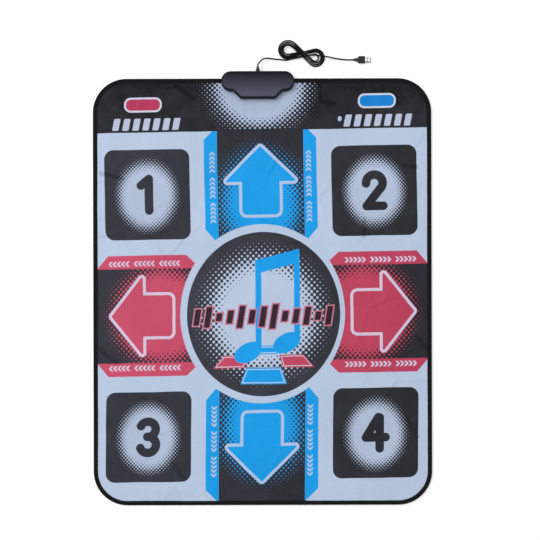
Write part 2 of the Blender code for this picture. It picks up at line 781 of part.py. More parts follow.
def smooth_line(points, spacing):
    """Points at an even spacing on a smooth curve through the route's own points. The first and last spans
    stay straight, so that the tube meets its neighbours squarely."""
    line = [Vector(p) for p in points]
    line = [line[0] * 2 - line[1], *line, line[-1] * 2 - line[-2]]
    fine = []
    for a, b, c, d in zip(line, line[1:], line[2:], line[3:]):
        for k in range(20):
            u = k / 20
            bend = (a * -1 + b * 3 - c * 3 + d) * u**3 + (a * 2 - b * 5 + c * 4 - d) * u**2 + (c - a) * u + b * 2
            fine.append(bend / 2)
    fine.append(line[-2])
    reach = [0.0]
    for a, b in zip(fine, fine[1:]):
        reach.append(reach[-1] + (b - a).length)
    first, last = reach[20], reach[-21]
    count = max(2, round((last - first) / spacing))
    at = [0.0, *np.linspace(first, last, count + 1), reach[-1]]
    return [tuple(float(np.interp(s, reach, [p[k] for p in fine])) for k in range(3)) for s in at]


def make_cord():
    floor = CORD_D / 2
    hank = hank_route()
    gap, length = least_gap(hank)
    print(f"hank: {length:.3f} m of cord, least gap to itself {gap * 1000:.2f} mm")
    start, second = Vector(hank[0]), Vector(hank[1])
    into = (second - start).normalized()
    tip_y = BOX_REAR_Y + RELIEF_L + CLEAR
    lead_end = start - into * CLEAR
    bend = [
        (0.0035, 0.0205, 0.0150),
        (0.0100, 0.0280, 0.0110),
        (0.0190, 0.0316, 0.0065),
        (0.0300, 0.0314, 0.0028),
        (0.0420, 0.0301, floor),
        (0.0540, 0.0291, floor),
    ]
    lead = [
        (BOX_X, tip_y, PARTING_Z),
        (BOX_X, tip_y + CORD_D, PARTING_Z),
        *[(BOX_X + x, BOX_REAR_Y + y, z) for x, y, z in bend],
        tuple(lead_end - into * 0.0080),
        tuple(lead_end - into * CORD_D),
        tuple(lead_end),
    ]
    add("cord_lead", tube(smooth_line(lead, 2.4 * CORD_D), CORD_D, 2), CORD, smooth=True)
    add("cord_hank", tube(hank, CORD_D, 1), CORD, smooth=True)
    end, before = Vector(hank[-1]), Vector(hank[-2])
    out = (end - before).normalized()
    tail_start = end + out * CLEAR
    neck_x = PLUG_AT[0] - PLUG_NECK_L
    plug_z = PLUG_BODY_T / 2
    tail = [
        tuple(tail_start),
        tuple(tail_start + out * CORD_D),
        tuple(tail_start + out * 0.010 + Vector((0.0, 0.0005, 0.0004))),
        (neck_x - CLEAR - CORD_D, PLUG_AT[1], plug_z),
        (neck_x - CLEAR, PLUG_AT[1], plug_z),
    ]
    add("cord_tail", tube(smooth_line(tail, 2.4 * CORD_D), CORD_D, 2), CORD, smooth=True)


# Plug


def make_plug():
    x, y = PLUG_AT
    z = PLUG_BODY_T / 2
    grip = block((PLUG_BODY_L, PLUG_BODY_W, PLUG_BODY_T), (x + PLUG_BODY_L / 2, y, z))
    overmold = add("plug_overmold", grip, CORD, smooth=True)
    round_edges = overmold.modifiers.new("edges", "BEVEL")
    round_edges.width = 0.0014
    round_edges.segments = 2
    neck_end = (x + PLUG_BODY_L / 3, y, z)
    neck = rod(RELIEF_TIP_R, (x - PLUG_NECK_L, y, z), neck_end, 16, PLUG_BODY_T / 2 - 2 * CLEAR)
    boolean(overmold, cutter(neck), "UNION")

    shell_x = x + PLUG_BODY_L + CLEAR
    wall = PLUG_SHELL_WALL
    outer = block((PLUG_SHELL_L, PLUG_SHELL_W, PLUG_SHELL_T), (shell_x + PLUG_SHELL_L / 2, y, z))
    shell = add("plug_shell", outer, STEEL)
    inside = (PLUG_SHELL_L, PLUG_SHELL_W - 2 * wall, PLUG_SHELL_T - 2 * wall)
    boolean(shell, cutter(block(inside, (shell_x + PLUG_SHELL_L / 2 + wall, y, z))))
    for side in (-1, 1):
        latch = block((0.0022, 0.0022, PLUG_SHELL_T), (shell_x + 0.0052, y + side * 0.0030, z + PLUG_SHELL_T))
        latch.transform(Matrix.Translation((0.0, 0.0, -PLUG_SHELL_T / 2)))
        boolean(shell, cutter(latch))

    tongue_t = 0.0016
    tongue_l = PLUG_SHELL_L - wall - 0.0010
    tongue_top = z + PLUG_SHELL_T / 2 - wall - CLEAR
    tongue_x = shell_x + wall + CLEAR
    tongue_size = (tongue_l, PLUG_SHELL_W - 2 * wall - 2 * CLEAR, tongue_t)
    add("plug_tongue", block(tongue_size, (tongue_x + tongue_l / 2, y, tongue_top - tongue_t / 2)), TONGUE)
    for number in range(4):
        contact_y = y + (number - 1.5) * 0.0023
        contact_z = tongue_top - tongue_t - CLEAR - 0.0001
        strip = block((0.0080, 0.0011, 0.0002), (tongue_x + 0.0055, contact_y, contact_z))
        add(f"plug_contact_{number + 1}", strip, CONTACT)


make_lower_sheets()
make_upper_sheets()
make_press_zones()
make_binding()
make_top_shell()
make_bottom_shell()
make_board()
make_film_tail()
make_screws()
make_strain_relief()
make_cord()
make_plug()
print(f"press travel {PRESS_TRAVEL * 1000:.2f} mm, cover top {COVER_TOP * 1000:.2f} mm")
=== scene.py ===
import math
import bmesh
import bpy
import numpy as np
from mathutils import Matrix, Vector
from mathutils.geometry import delaunay_2d_cdt


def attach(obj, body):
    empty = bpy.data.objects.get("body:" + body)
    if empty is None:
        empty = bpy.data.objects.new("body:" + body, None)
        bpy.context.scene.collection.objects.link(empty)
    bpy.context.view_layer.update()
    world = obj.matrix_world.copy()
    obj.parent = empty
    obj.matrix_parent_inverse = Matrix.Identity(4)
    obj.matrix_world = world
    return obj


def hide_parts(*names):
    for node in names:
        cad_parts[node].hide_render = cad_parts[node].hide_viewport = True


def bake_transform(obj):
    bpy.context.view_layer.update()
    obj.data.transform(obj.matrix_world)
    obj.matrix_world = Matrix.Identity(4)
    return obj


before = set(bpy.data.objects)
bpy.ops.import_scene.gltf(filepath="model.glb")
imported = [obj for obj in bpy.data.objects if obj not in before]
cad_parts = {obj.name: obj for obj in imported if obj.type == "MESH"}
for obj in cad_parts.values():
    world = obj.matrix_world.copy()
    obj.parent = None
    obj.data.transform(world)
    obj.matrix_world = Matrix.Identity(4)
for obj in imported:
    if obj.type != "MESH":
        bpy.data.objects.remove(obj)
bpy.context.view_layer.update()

# Camera
# The mat lies flat and is seen from straight above, from a point a little behind its middle.

CAMERA_OVER = (0.0165, 0.0474)
CAMERA_UP = 2.009
CAMERA_TURN = -0.15
CAMERA_LENS = 61.2

camera = bpy.data.objects.new("camera", bpy.data.cameras.new("camera"))
camera.location = (*CAMERA_OVER, CAMERA_UP)
camera.rotation_euler = (0.0, 0.0, math.radians(CAMERA_TURN))
camera.data.lens = CAMERA_LENS
camera.data.sensor_width = 36.0
bpy.context.scene.collection.objects.link(camera)
bpy.context.scene.camera = camera
bpy.context.scene.view_settings.view_transform = "Standard"

# Floor and light
# A plain white floor, an even pale surround, and one wide soft lamp from the upper left that gives
# the box and the folds of the cover a gentle light and dark side.

FLOOR_HALF = 4.0
FLOOR_Z = -0.0002
FLOOR_GLOW = 0.30
SURROUND_SEEN = 0.345
SURROUND_LIGHT = 0.655
LAMP_AT = (-2.2, 1.6, 4.9)
LAMP_D = 3.3
LAMP_POWER = 142.0


def new_finish(name, roughness, metallic=0.0, specular=0.5):
    """A material with one shader, and its node tree."""
    material = bpy.data.materials.new(name)
    material.use_nodes = True
    shader = material.node_tree.nodes["Principled BSDF"]
    shader.inputs["Roughness"].default_value = roughness
    shader.inputs["Metallic"].default_value = metallic
    shader.inputs["Specular IOR Level"].default_value = specular
    return material, material.node_tree, shader


def new_mesh_piece(name, mesh, material):
    """A piece made from a finished mesh."""
    piece = bpy.data.objects.new(name, mesh)
    bpy.context.scene.collection.objects.link(piece)
    mesh.materials.append(material)
    return piece


def math_node(tree, operation, *values):
    """A number worked out from sockets and plain numbers."""
    node = tree.nodes.new("ShaderNodeMath")
    node.operation = operation
    for slot, value in enumerate(values):
        if isinstance(value, (int, float)):
            node.inputs[slot].default_value = value
        else:
            tree.links.new(value, node.inputs[slot])
    return node.outputs[0]


def link_strength(tree, socket, added, base=0.0):
    """Feeds a strength that is greater for what the camera sees, directly or mirrored."""
    rays = tree.nodes.new("ShaderNodeLightPath").outputs
    seen = math_node(tree, "MAXIMUM", rays["Is Camera Ray"], rays["Is Glossy Ray"])
    tree.links.new(math_node(tree, "MULTIPLY_ADD", seen, added, base), socket)


floor_paint, floor_tree, floor_shader = new_finish("floor_paint", 0.9, specular=0.0)
floor_shader.inputs["Base Color"].default_value = (0.86, 0.86, 0.86, 1.0)
floor_shader.inputs["Emission Color"].default_value = (1.0, 1.0, 1.0, 1.0)
link_strength(floor_tree, floor_shader.inputs["Emission Strength"], FLOOR_GLOW)
floor_corners = [(FLOOR_HALF * x, FLOOR_HALF * y, FLOOR_Z) for x, y in ((-1, -1), (1, -1), (1, 1), (-1, 1))]
floor_mesh = bpy.data.meshes.new("floor")
floor_mesh.from_pydata(floor_corners, [], [(0, 1, 2, 3)])
floor = new_mesh_piece("floor", floor_mesh, floor_paint)

surround = bpy.data.worlds.new("surround")
surround.use_nodes = True
surround_light = surround.node_tree.nodes["Background"]
surround_light.inputs["Color"].default_value = (1.0, 1.0, 1.0, 1.0)
link_strength(surround.node_tree, surround_light.inputs["Strength"], SURROUND_SEEN, SURROUND_LIGHT)
bpy.context.scene.world = surround

soft_lamp = bpy.data.objects.new("soft_lamp", bpy.data.lights.new("soft_lamp", "AREA"))
soft_lamp.data.shape = "DISK"
soft_lamp.data.size = LAMP_D
soft_lamp.data.energy = LAMP_POWER
soft_lamp.location = LAMP_AT
soft_lamp.rotation_euler = (-Vector(LAMP_AT)).to_track_quat("-Z", "Y").to_euler()
bpy.context.scene.collection.objects.link(soft_lamp)

# Cord
# A thin flexible lead in a black PVC jacket, moulded round. It leaves the back of the control box, runs
# into a hand-wound figure-eight hank that holds itself together, and comes out of it to the plug.

BOX_X = -0.0088
BOX_REAR_Y = 0.4778
BOX_PARTING_Z = 0.0175
CORD_D = 0.0033
CORD_STEP = CORD_D + 0.00063
CORD_RISE = 0.0041
RELIEF_L = 0.0110
HANK_AT = (BOX_X + 0.0957, BOX_REAR_Y + 0.0417)
HANK_TURN = math.radians(-15.5)
HANK_HALF_SPAN = 0.0315
HANK_LEFT_R = 0.0158
HANK_RIGHT_R = 0.0140
HANK_HALF_TURNS = 5
HANK_FIRST_FOLD = (0.0300, -0.0005)
HANK_FIRST_FOLD_R = 0.0078
HANK_LEAVE_HEADING = math.radians(25.5)
HANK_LEAVE_L = 0.0462
HANK_EXIT_HEADING = math.radians(8.0)
HANK_EXIT_BEND_R = 0.060
HANK_CLIMB = (0.012, 0.022)
HANK_FALL = (0.007, 0.028)
HANK_BEND_STEP = math.radians(15.0)
HANK_RUN_STEP = 0.0055
HANK_CROSSING = (0.0400, 0.0260)
LAST_BEND_STEPS = 14
OVER_LOOP_STEPS = 7
EXIT_BEND_STEPS = 4
EXIT_RUN_STEPS = 13
EXIT_RUN_STEP = 0.0048
CORD_SPACING = 0.0024
PLUG_AT = (BOX_X + 0.2189, BOX_REAR_Y + 0.0283)
PLUG_NECK_L = 0.0110
PLUG_BODY = (0.0150, 0.0158, 0.0080)


def ease(u):
    """Smooth step from 0 to 1."""
    u = min(1.0, max(0.0, u))
    return u * u * (3 - 2 * u)


def hank_bends():
    """Centre, radius and layer of each end bend, in the order that the cord runs."""
    spread = CORD_STEP * HANK_HALF_TURNS / 4
    bends = []
    for j in range(2 * HANK_HALF_TURNS + 1):
        layer = 0 if j <= HANK_HALF_TURNS else 1
        if j <= HANK_HALF_TURNS:
            shift = spread - CORD_STEP * j / 2
        elif j == HANK_HALF_TURNS + 1:
            shift = -spread - CORD_STEP / 4
        else:
            shift = CORD_STEP * (j - HANK_HALF_TURNS - 3) / 2
        if j == 1:
            bends.append((Vector(HANK_FIRST_FOLD), HANK_FIRST_FOLD_R, layer))
        elif j % 2:
            bends.append((Vector((HANK_HALF_SPAN, 0.0)), HANK_RIGHT_R - shift, layer))
        else:
            bends.append((Vector((-HANK_HALF_SPAN, 0.0)), HANK_LEFT_R + shift, layer))
    return bends


def place_on_bend(bend, right, heading):
    """Where the cord lies on an end bend when it runs with this heading."""
    centre, radius, _ = bend
    side = Vector((-math.sin(heading), math.cos(heading)))
    return centre + side * (radius if right else -radius)


def crossing_run(left, right):
    """Heading and lean of the straight run between a left bend and a right bend."""
    between = right[0] - left[0]
    lean = math.asin((left[1] + right[1]) / between.length)
    return math.atan2(between.y, between.x), lean


def hank_turns():
    """The wound turns in their own plane, as points (x, y, layer, on top)."""
    bends = hank_bends()
    points = []

    def run(start, end, layers, on_top):
        count = max(2, round((end - start).length / HANK_RUN_STEP))
        for k in range(count):
            place = start.lerp(end, k / count)
            layer = layers[0] + (layers[1] - layers[0]) * ease(k / count)
            points.append((place.x, place.y, layer, on_top))

    def turn(bend, right, h0, h1):
        count = max(2, round(abs(h1 - h0) / HANK_BEND_STEP))
        for k in range(count):
            heading = h0 + (h1 - h0) * k / count
            place = place_on_bend(bend, right, heading)
            second_half = k / count > 0.5
            points.append((place.x, place.y, bend[2], second_half if right else not second_half))

    for j in range(len(bends) - 1):
        here, after = bends[j], bends[j + 1]
        if j % 2 == 0:
            base, lean = crossing_run(here, after)
            start = place_on_bend(here, False, base + lean)
            run(start, place_on_bend(after, True, base + lean), (here[2], after[2]), 0)
            back = (base, lean)
            if j + 2 < len(bends):
                back = crossing_run(bends[j + 2], after)
            turn(after, True, base + lean, back[0] - back[1] - math.pi)
        else:
            base, lean = crossing_run(after, here)
            heading = base + math.pi - lean
            start = place_on_bend(here, True, heading)
            run(start, place_on_bend(after, False, heading), (here[2], after[2]), 1)
            if j + 2 < len(bends):
                on_base, on_lean = crossing_run(after, bends[j + 2])
                turn(after, False, heading, 2 * math.pi + on_base + on_lean)
    return points, bends


def hank_route():
    """The hank's centreline from the lead to the tail."""
    plan, bends = hank_turns()
    last = bends[-1]
    leave = HANK_LEAVE_HEADING
    base, lean = crossing_run(last, bends[-2])
    arrive = base + math.pi - lean
    rest = []
    for k in range(LAST_BEND_STEPS):
        place = place_on_bend(last, False, arrive + (2 * math.pi + leave - arrive) * k / LAST_BEND_STEPS)
        rest.append((place.x, place.y, 1.0, 1 if k < LAST_BEND_STEPS / 2 else 0))
    start = place_on_bend(last, False, leave)
    along = Vector((math.cos(leave), math.sin(leave)))
    bend_l = HANK_EXIT_BEND_R * math.tan((leave - HANK_EXIT_HEADING) / 2)
    bend_start = start + along * (HANK_LEAVE_L - bend_l)
    bend_centre = bend_start + Vector((along.y, -along.x)) * HANK_EXIT_BEND_R
    over_loop = [start.lerp(bend_start, k / OVER_LOOP_STEPS) for k in range(OVER_LOOP_STEPS)]
    for k in range(EXIT_BEND_STEPS + 1):
        heading = leave + (HANK_EXIT_HEADING - leave) * k / EXIT_BEND_STEPS
        over_loop.append(bend_centre + Vector((-math.sin(heading), math.cos(heading))) * HANK_EXIT_BEND_R)
    for place in over_loop:
        rest.append((place.x, place.y, 1.0 + ease((place.x - HANK_CLIMB[0]) / HANK_CLIMB[1]), 0))
    onward = Vector((math.cos(HANK_EXIT_HEADING), math.sin(HANK_EXIT_HEADING)))
    from_here = Vector(rest[-1][:2])
    for k in range(1, EXIT_RUN_STEPS + 1):
        place = from_here + onward * (EXIT_RUN_STEP * k)
        fall = ease((place.x - HANK_HALF_SPAN - HANK_RIGHT_R - HANK_FALL[0]) / HANK_FALL[1])
        rest.append((place.x, place.y, 2.0 * (1 - fall), 0))
    turn = Matrix.Rotation(HANK_TURN, 2)
    route = []
    for x, y, layer, on_top in plan + rest:
        from_crossing = math.hypot(x, y * 0.5)
        lift = 2.0 * ease((HANK_CROSSING[0] - from_crossing) / HANK_CROSSING[1]) if on_top else 0.0
        at = turn @ Vector((x, y))
        route.append((HANK_AT[0] + at.x, HANK_AT[1] + at.y, CORD_D / 2 + CORD_RISE * (layer + lift)))
    return route


def run_along(points):
    """How far along a line of points each one lies."""
    steps = np.linalg.norm(np.diff(np.array(points), axis=0), axis=1)
    return np.concatenate([[0.0], np.cumsum(steps)])


def smooth_route(points, spacing):
    """Points at an even spacing on a smooth curve through the route's own points, and its length."""
    line = [Vector(p) for p in points]
    line = [line[0] * 2 - line[1], *line, line[-1] * 2 - line[-2]]
    fine = []
    for a, b, c, d in zip(line, line[1:], line[2:], line[3:]):
        for k in range(20):
            u = k / 20
            cubic = (a * -1 + b * 3 - c * 3 + d) * u**3
            square = (a * 2 - b * 5 + c * 4 - d) * u**2
            fine.append((cubic + square + (c - a) * u + b * 2) / 2)
    fine.append(line[-2])
    fine = np.array(fine)
    reach = run_along(fine)
    at = np.linspace(0.0, reach[-1], round(reach[-1] / spacing) + 1)
    return np.stack([np.interp(at, reach, fine[:, k]) for k in range(3)], axis=1), float(reach[-1])


hank = hank_route()
into_hank = (Vector(hank[1]) - Vector(hank[0])).normalized()
out_of_hank = (Vector(hank[-1]) - Vector(hank[-2])).normalized()
lead_bend = [
    (0.0035, 0.0205, 0.0150),
    (0.0100, 0.0280, 0.0110),
    (0.0190, 0.0316, 0.0065),
    (0.0300, 0.0314, 0.0028),
    (0.0420, 0.0301, CORD_D / 2),
    (0.0540, 0.0291, CORD_D / 2),
]
cord_exit = (BOX_X, BOX_REAR_Y + RELIEF_L, BOX_PARTING_Z)
plug_neck = (PLUG_AT[0] - PLUG_NECK_L, PLUG_AT[1], PLUG_BODY[2] / 2)
cord_points = [
    cord_exit,
    (BOX_X, cord_exit[1] + CORD_D, BOX_PARTING_Z),
    *[(BOX_X + x, BOX_REAR_Y + y, z) for x, y, z in lead_bend],
    tuple(Vector(hank[0]) - into_hank * 0.0080),
    *hank,
    tuple(Vector(hank[-1]) + out_of_hank * 0.010 + Vector((0.0, 0.0005, 0.0004))),
    (plug_neck[0] - CORD_D, plug_neck[1], plug_neck[2]),
    plug_neck,
]
cord_line, cord_length = smooth_route(cord_points, CORD_SPACING)


def new_group(name, inputs, outputs):
    """An empty shader group with named inputs, each with a starting value, and named outputs."""
    group = bpy.data.node_groups.new(name, "ShaderNodeTree")
    for label, start in inputs.items():
        socket = group.interface.new_socket(name=label, in_out="INPUT", socket_type="NodeSocketFloat")
        socket.default_value = start
    for label in outputs:
        group.interface.new_socket(name=label, in_out="OUTPUT", socket_type="NodeSocketFloat")
    return group, group.nodes.new("NodeGroupInput"), group.nodes.new("NodeGroupOutput")


def object_place(tree):
    """Where on its object each spot of a surface lies."""
    return tree.nodes.new("ShaderNodeTexCoord").outputs["Object"]


def parts_of(tree, vector):
    """The X, Y and Z of a vector, by those names."""
    node = tree.nodes.new("ShaderNodeSeparateXYZ")
    tree.links.new(vector, node.inputs[0])
    return node.outputs


def noise_node(tree, place, scale, detail=3.0, roughness=0.5):
    """Soft noise over the object. The scale is a number, or the socket that gives it."""
    node = tree.nodes.new("ShaderNodeTexNoise")
    node.inputs["Detail"].default_value = detail
    node.inputs["Roughness"].default_value = roughness
    tree.links.new(place, node.inputs["Vector"])
    if isinstance(scale, (int, float)):
        node.inputs["Scale"].default_value = scale
    else:
        tree.links.new(scale, node.inputs["Scale"])
    return node.outputs["Fac"]


def range_node(tree, value, low, high, to_low=0.0, to_high=1.0):
    """Maps a value from one range to another, held within it."""
    node = tree.nodes.new("ShaderNodeMapRange")
    tree.links.new(value, node.inputs["Value"])
    for label, number in (("From Min", low), ("From Max", high), ("To Min", to_low), ("To Max", to_high)):
        node.inputs[label].default_value = number
    return node.outputs["Result"]


def blend_colours(tree, under, over, share):
    """One colour laid over another where the share says. Each colour is three numbers or a socket."""
    node = tree.nodes.new("ShaderNodeMix")
    node.data_type = "RGBA"
    for slot, value in ((0, share), (6, under), (7, over)):
        if isinstance(value, tuple):
            node.inputs[slot].default_value = (*value, 1.0)
        else:
            tree.links.new(value, node.inputs[slot])
    return node.outputs[2]


def raise_surface(tree, shader, height, distance, under=None):
    """Feeds a height to the shader's normal through a bump, on top of an earlier one if there is one."""
    bump = tree.nodes.new("ShaderNodeBump")
    bump.inputs["Distance"].default_value = distance
    tree.links.new(height, bump.inputs["Height"])
    if under is not None:
        tree.links.new(under, bump.inputs["Normal"])
    tree.links.new(bump.outputs["Normal"], shader.inputs["Normal"])
    return bump.outputs["Normal"]


def place_group(tree, group, **values):
    """Puts a shader group in a material with its own values. Spaces in labels are written as _."""
    node = tree.nodes.new("ShaderNodeGroup")
    node.node_tree = group
    for label, value in values.items():
        node.inputs[label.replace("_", " ")].default_value = value
    return node


moulded_grain, grain_in, grain_out = new_group(
    "Moulded Grain", {"Grain Scale": 2500.0, "Mottle Scale": 40.0}, ("Height", "Mottle")
)
grain_place = object_place(moulded_grain)
grain_fine = noise_node(moulded_grain, grain_place, grain_in.outputs["Grain Scale"], 2.0)
grain_mottle = noise_node(moulded_grain, grain_place, grain_in.outputs["Mottle Scale"], 4.0, 0.6)
grain_mottle = range_node(moulded_grain, grain_mottle, 0.3, 0.7)
moulded_grain.links.new(grain_fine, grain_out.inputs["Height"])
moulded_grain.links.new(grain_mottle, grain_out.inputs["Mottle"])

settled_dust, dust_in, dust_out = new_group(
    "Settled Dust", {"Speck Scale": 900.0, "Amount": 0.5}, ("Dust",)
)
dust_place = object_place(settled_dust)
dust_patches = noise_node(settled_dust, dust_place, 22.0)
dust_specks = noise_node(settled_dust, dust_place, dust_in.outputs["Speck Scale"], 1.0)
dust_facing = parts_of(settled_dust, settled_dust.nodes.new("ShaderNodeNewGeometry").outputs["Normal"])
dust_mask = range_node(settled_dust, dust_patches, 0.42, 0.75)
for share in (
    range_node(settled_dust, dust_specks, 0.5, 0.72, 0.15, 1.0),
    range_node(settled_dust, dust_facing["Z"], 0.3, 1.0),
    dust_in.outputs["Amount"],
):
    dust_mask = math_node(settled_dust, "MULTIPLY", dust_mask, share)
settled_dust.links.new(dust_mask, dust_out.inputs["Dust"])


def moulded_plastic(name, dark, light, roughness, grain_scale, grain_depth, dust=0.4, specular=0.5):
    """Moulded plastic or rubber: a fine even grain, a faint mottle and a little settled dust."""
    material, tree, shader = new_finish(name, roughness, specular=specular)
    grain = place_group(tree, moulded_grain, Grain_Scale=grain_scale, Mottle_Scale=45.0)
    settled = place_group(tree, settled_dust, Amount=dust)
    colour = blend_colours(tree, dark, light, grain.outputs["Mottle"])
    colour = blend_colours(tree, colour, (0.30, 0.30, 0.31), settled.outputs["Dust"])
    tree.links.new(colour, shader.inputs["Base Color"])
    gloss = range_node(tree, grain.outputs["Mottle"], 0.0, 1.0, roughness - 0.05, roughness + 0.06)
    tree.links.new(gloss, shader.inputs["Roughness"])
    raise_surface(tree, shader, grain.outputs["Height"], grain_depth)
    return material


cord_jacket = moulded_plastic(
    "cord_jacket", (0.001, 0.001, 0.0014), (0.002, 0.002, 0.0028), 0.28, 3000.0, 0.00003, 0.0, 0.12
)
cord_curve = bpy.data.curves.new("cord", "CURVE")
cord_curve.dimensions = "3D"
cord_curve.bevel_depth = CORD_D / 2
cord_curve.bevel_resolution = 4
cord_curve.use_fill_caps = True
cord_spline = cord_curve.splines.new("POLY")
cord_spline.points.add(len(cord_line) - 1)
cord_spline.points.foreach_set("co", np.c_[cord_line, np.ones(len(cord_line))].ravel())
cord_spline.use_smooth = True
cord = bpy.data.objects.new("cord", cord_curve)
bpy.context.scene.collection.objects.link(cord)
cord_curve.materials.append(cord_jacket)
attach(cord, "mat")
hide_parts("cord_lead", "cord_hank", "cord_tail")

# Strain relief
# A short flexible sleeve moulded on the cord where it leaves the box: a cone with ring grooves round it,
# held in the wall between the two shells by its flange.

RELIEF_R = 0.0052
RELIEF_TIP_R = 0.0024
RELIEF_GROOVES = 5
RELIEF_ROOT = 0.0003
RELIEF_PLUG_R = 0.0036
RELIEF_PLUG_L = 0.0022
LATHE_SIDES = 32

# Down one groove: how deep, and how far above the groove's lower edge
RELIEF_GROOVE = [(0.0001, 0.00075), (0.00065, 0.00055), (0.00065, 0.00015), (0.0, 0.0)]


def piece_from(work, name, material):
    """A piece from a mesh that has been worked on, with its faces turned outward."""
    bmesh.ops.recalc_face_normals(work, faces=work.faces)
    mesh = bpy.data.meshes.new(name)
    work.to_mesh(mesh)
    work.free()
    return new_mesh_piece(name, mesh, material)


def lathe(name, profile, stand, material):
    """A turned piece from (radius, height) points, closed where the radius is nothing."""
    work = bmesh.new()
    turns = [2 * math.pi * k / LATHE_SIDES for k in range(LATHE_SIDES)]
    rings = []
    for radius, height in profile:
        if radius == 0.0:
            rings.append([work.verts.new((0.0, 0.0, height))])
        else:
            round_it = [(radius * math.cos(a), radius * math.sin(a), height) for a in turns]
            rings.append([work.verts.new(place) for place in round_it])
    for low, high in zip(rings, rings[1:]):
        for k in range(LATHE_SIDES):
            at_corners = ((low, k), (low, k + 1), (high, k + 1), (high, k))
            corners = list(dict.fromkeys(ring[side % len(ring)] for ring, side in at_corners))
            if len(corners) > 2:
                work.faces.new(corners).smooth = True
    work.transform(stand)
    return piece_from(work, name, material)


relief_profile = [(0.0, RELIEF_L), (RELIEF_TIP_R - 0.0005, RELIEF_L), (RELIEF_TIP_R, RELIEF_L - 0.0004)]
for ring in range(RELIEF_GROOVES):
    top = RELIEF_L * (1 - (ring + 0.7) / (RELIEF_GROOVES + 0.6))
    around = RELIEF_R + (RELIEF_TIP_R - RELIEF_R) * top / RELIEF_L
    relief_profile += [(around - depth, top + above) for depth, above in RELIEF_GROOVE]
relief_profile += [(RELIEF_R, RELIEF_ROOT), (RELIEF_PLUG_R, RELIEF_ROOT)]
relief_profile += [(RELIEF_PLUG_R, -RELIEF_PLUG_L), (0.0, -RELIEF_PLUG_L)]
relief_rubber = moulded_plastic(
    "relief_rubber", (0.006, 0.006, 0.007), (0.012, 0.012, 0.014), 0.5, 2600.0, 0.00004, 0.3
)
relief = lathe(
    "relief_sleeve",
    relief_profile,
    Matrix.Translation((BOX_X, BOX_REAR_Y, BOX_PARTING_Z)) @ Matrix.Rotation(-math.pi / 2, 4, "X"),
    relief_rubber,
)
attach(relief, "mat")
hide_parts("strain_relief")

# Plug
# A flat four-contact plug. The grip is moulded over the cord's end in black plastic, with a tapered neck
# and finger ridges. The shell is folded from thin plated steel with two square latch holes, and holds a
# black tongue with gilt strips.

SECTION_STEPS = 5
PLUG_CORNER = 0.0022
NECK_SHARES = (0.0, 0.2, 0.4, 0.6, 0.8)
NECK_GROOVED = (0.2, 0.4)
NECK_GROOVE_DEPTH = 0.0004
NECK_HALF_T = 0.0034
RIDGES_FROM = 0.0048
RIDGE_PITCH = 0.0019

# Along the shoulder: place, and shares of the grip's full width and thickness
SHOULDER = [(-0.0006, 0.68, 0.90), (0.0006, 0.84, 0.95), (0.0018, 0.95, 0.985), (0.0032, 1.0, 1.0)]

# Across the groove between two ridges: place and depth
RIDGE_GROOVE = [(-0.0006, 0.0), (-0.0003, 0.00045), (0.0003, 0.00045), (0.0006, 0.0)]

# Round the grip's front edge: distance from its end, and how far in
GRIP_FRONT = [(0.0012, 0.0), (0.0005, 0.0002), (0.0001, 0.0006), (0.0, 0.0011)]


def rounded_section(half_w, half_t, corner, x, centre):
    """A ring of points across the plug at x: a rectangle with round corners."""
    ring = []
    for quarter in range(4):
        side_y = 1 if quarter in (0, 3) else -1
        side_z = 1 if quarter < 2 else -1
        for step in range(SECTION_STEPS + 1):
            angle = (quarter + step / SECTION_STEPS) * math.pi / 2
            y = side_y * (half_w - corner) + corner * math.cos(angle)
            z = side_z * (half_t - corner) + corner * math.sin(angle)
            ring.append((x, centre[0] + y, centre[1] + z))
    return ring


def loft(name, rings, material):
    """A skin over rings of equally many points, with flat ends."""
    work = bmesh.new()
    rows = [[work.verts.new(p) for p in ring] for ring in rings]
    count = len(rows[0])
    for low, high in zip(rows, rows[1:]):
        for k in range(count):
            after = (k + 1) % count
            work.faces.new((low[k], low[after], high[after], high[k])).smooth = True
    work.faces.new(rows[0])
    work.faces.new(rows[-1])
    return piece_from(work, name, material)


grip_centre = (PLUG_AT[1], PLUG_BODY[2] / 2)
grip_half_w, grip_half_t = PLUG_BODY[1] / 2, PLUG_BODY[2] / 2
grip_rings = []
for share in NECK_SHARES:
    half = 0.0023 + 0.0008 * share + 0.0020 * share**2
    groove = NECK_GROOVE_DEPTH if share in NECK_GROOVED else 0.0
    for step in (-0.0006, 0.0, 0.0006):
        depth = groove if step == 0.0 else 0.0
        x = max(plug_neck[0], plug_neck[0] + PLUG_NECK_L * share + step)
        half_t = min(half, NECK_HALF_T) - depth
        grip_rings.append(rounded_section(half - depth, half_t, half_t * 0.98, x, grip_centre))
for x, share_w, share_t in SHOULDER:
    half_w, half_t = grip_half_w * share_w, grip_half_t * share_t
    corner = min(PLUG_CORNER, half_t * 0.7)
    grip_rings.append(rounded_section(half_w, half_t, corner, PLUG_AT[0] + x, grip_centre))
for ridge in range(4):
    x = PLUG_AT[0] + RIDGES_FROM + RIDGE_PITCH * ridge
    for step, depth in RIDGE_GROOVE:
        half_w, half_t = grip_half_w - depth, grip_half_t - depth
        grip_rings.append(rounded_section(half_w, half_t, PLUG_CORNER, x + step, grip_centre))
for x, depth in GRIP_FRONT:
    half_w, half_t = grip_half_w - depth, grip_half_t - depth
    grip_rings.append(rounded_section(half_w, half_t, 0.0020, PLUG_AT[0] + PLUG_BODY[0] - x, grip_centre))
plug_plastic = moulded_plastic(
    "plug_plastic", (0.004, 0.004, 0.0055), (0.007, 0.007, 0.009), 0.42, 2200.0, 0.00005, 0.04, 0.25
)
plug_grip = loft("plug_grip", grip_rings, plug_plastic)
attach(plug_grip, "mat")
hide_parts("plug_overmold")


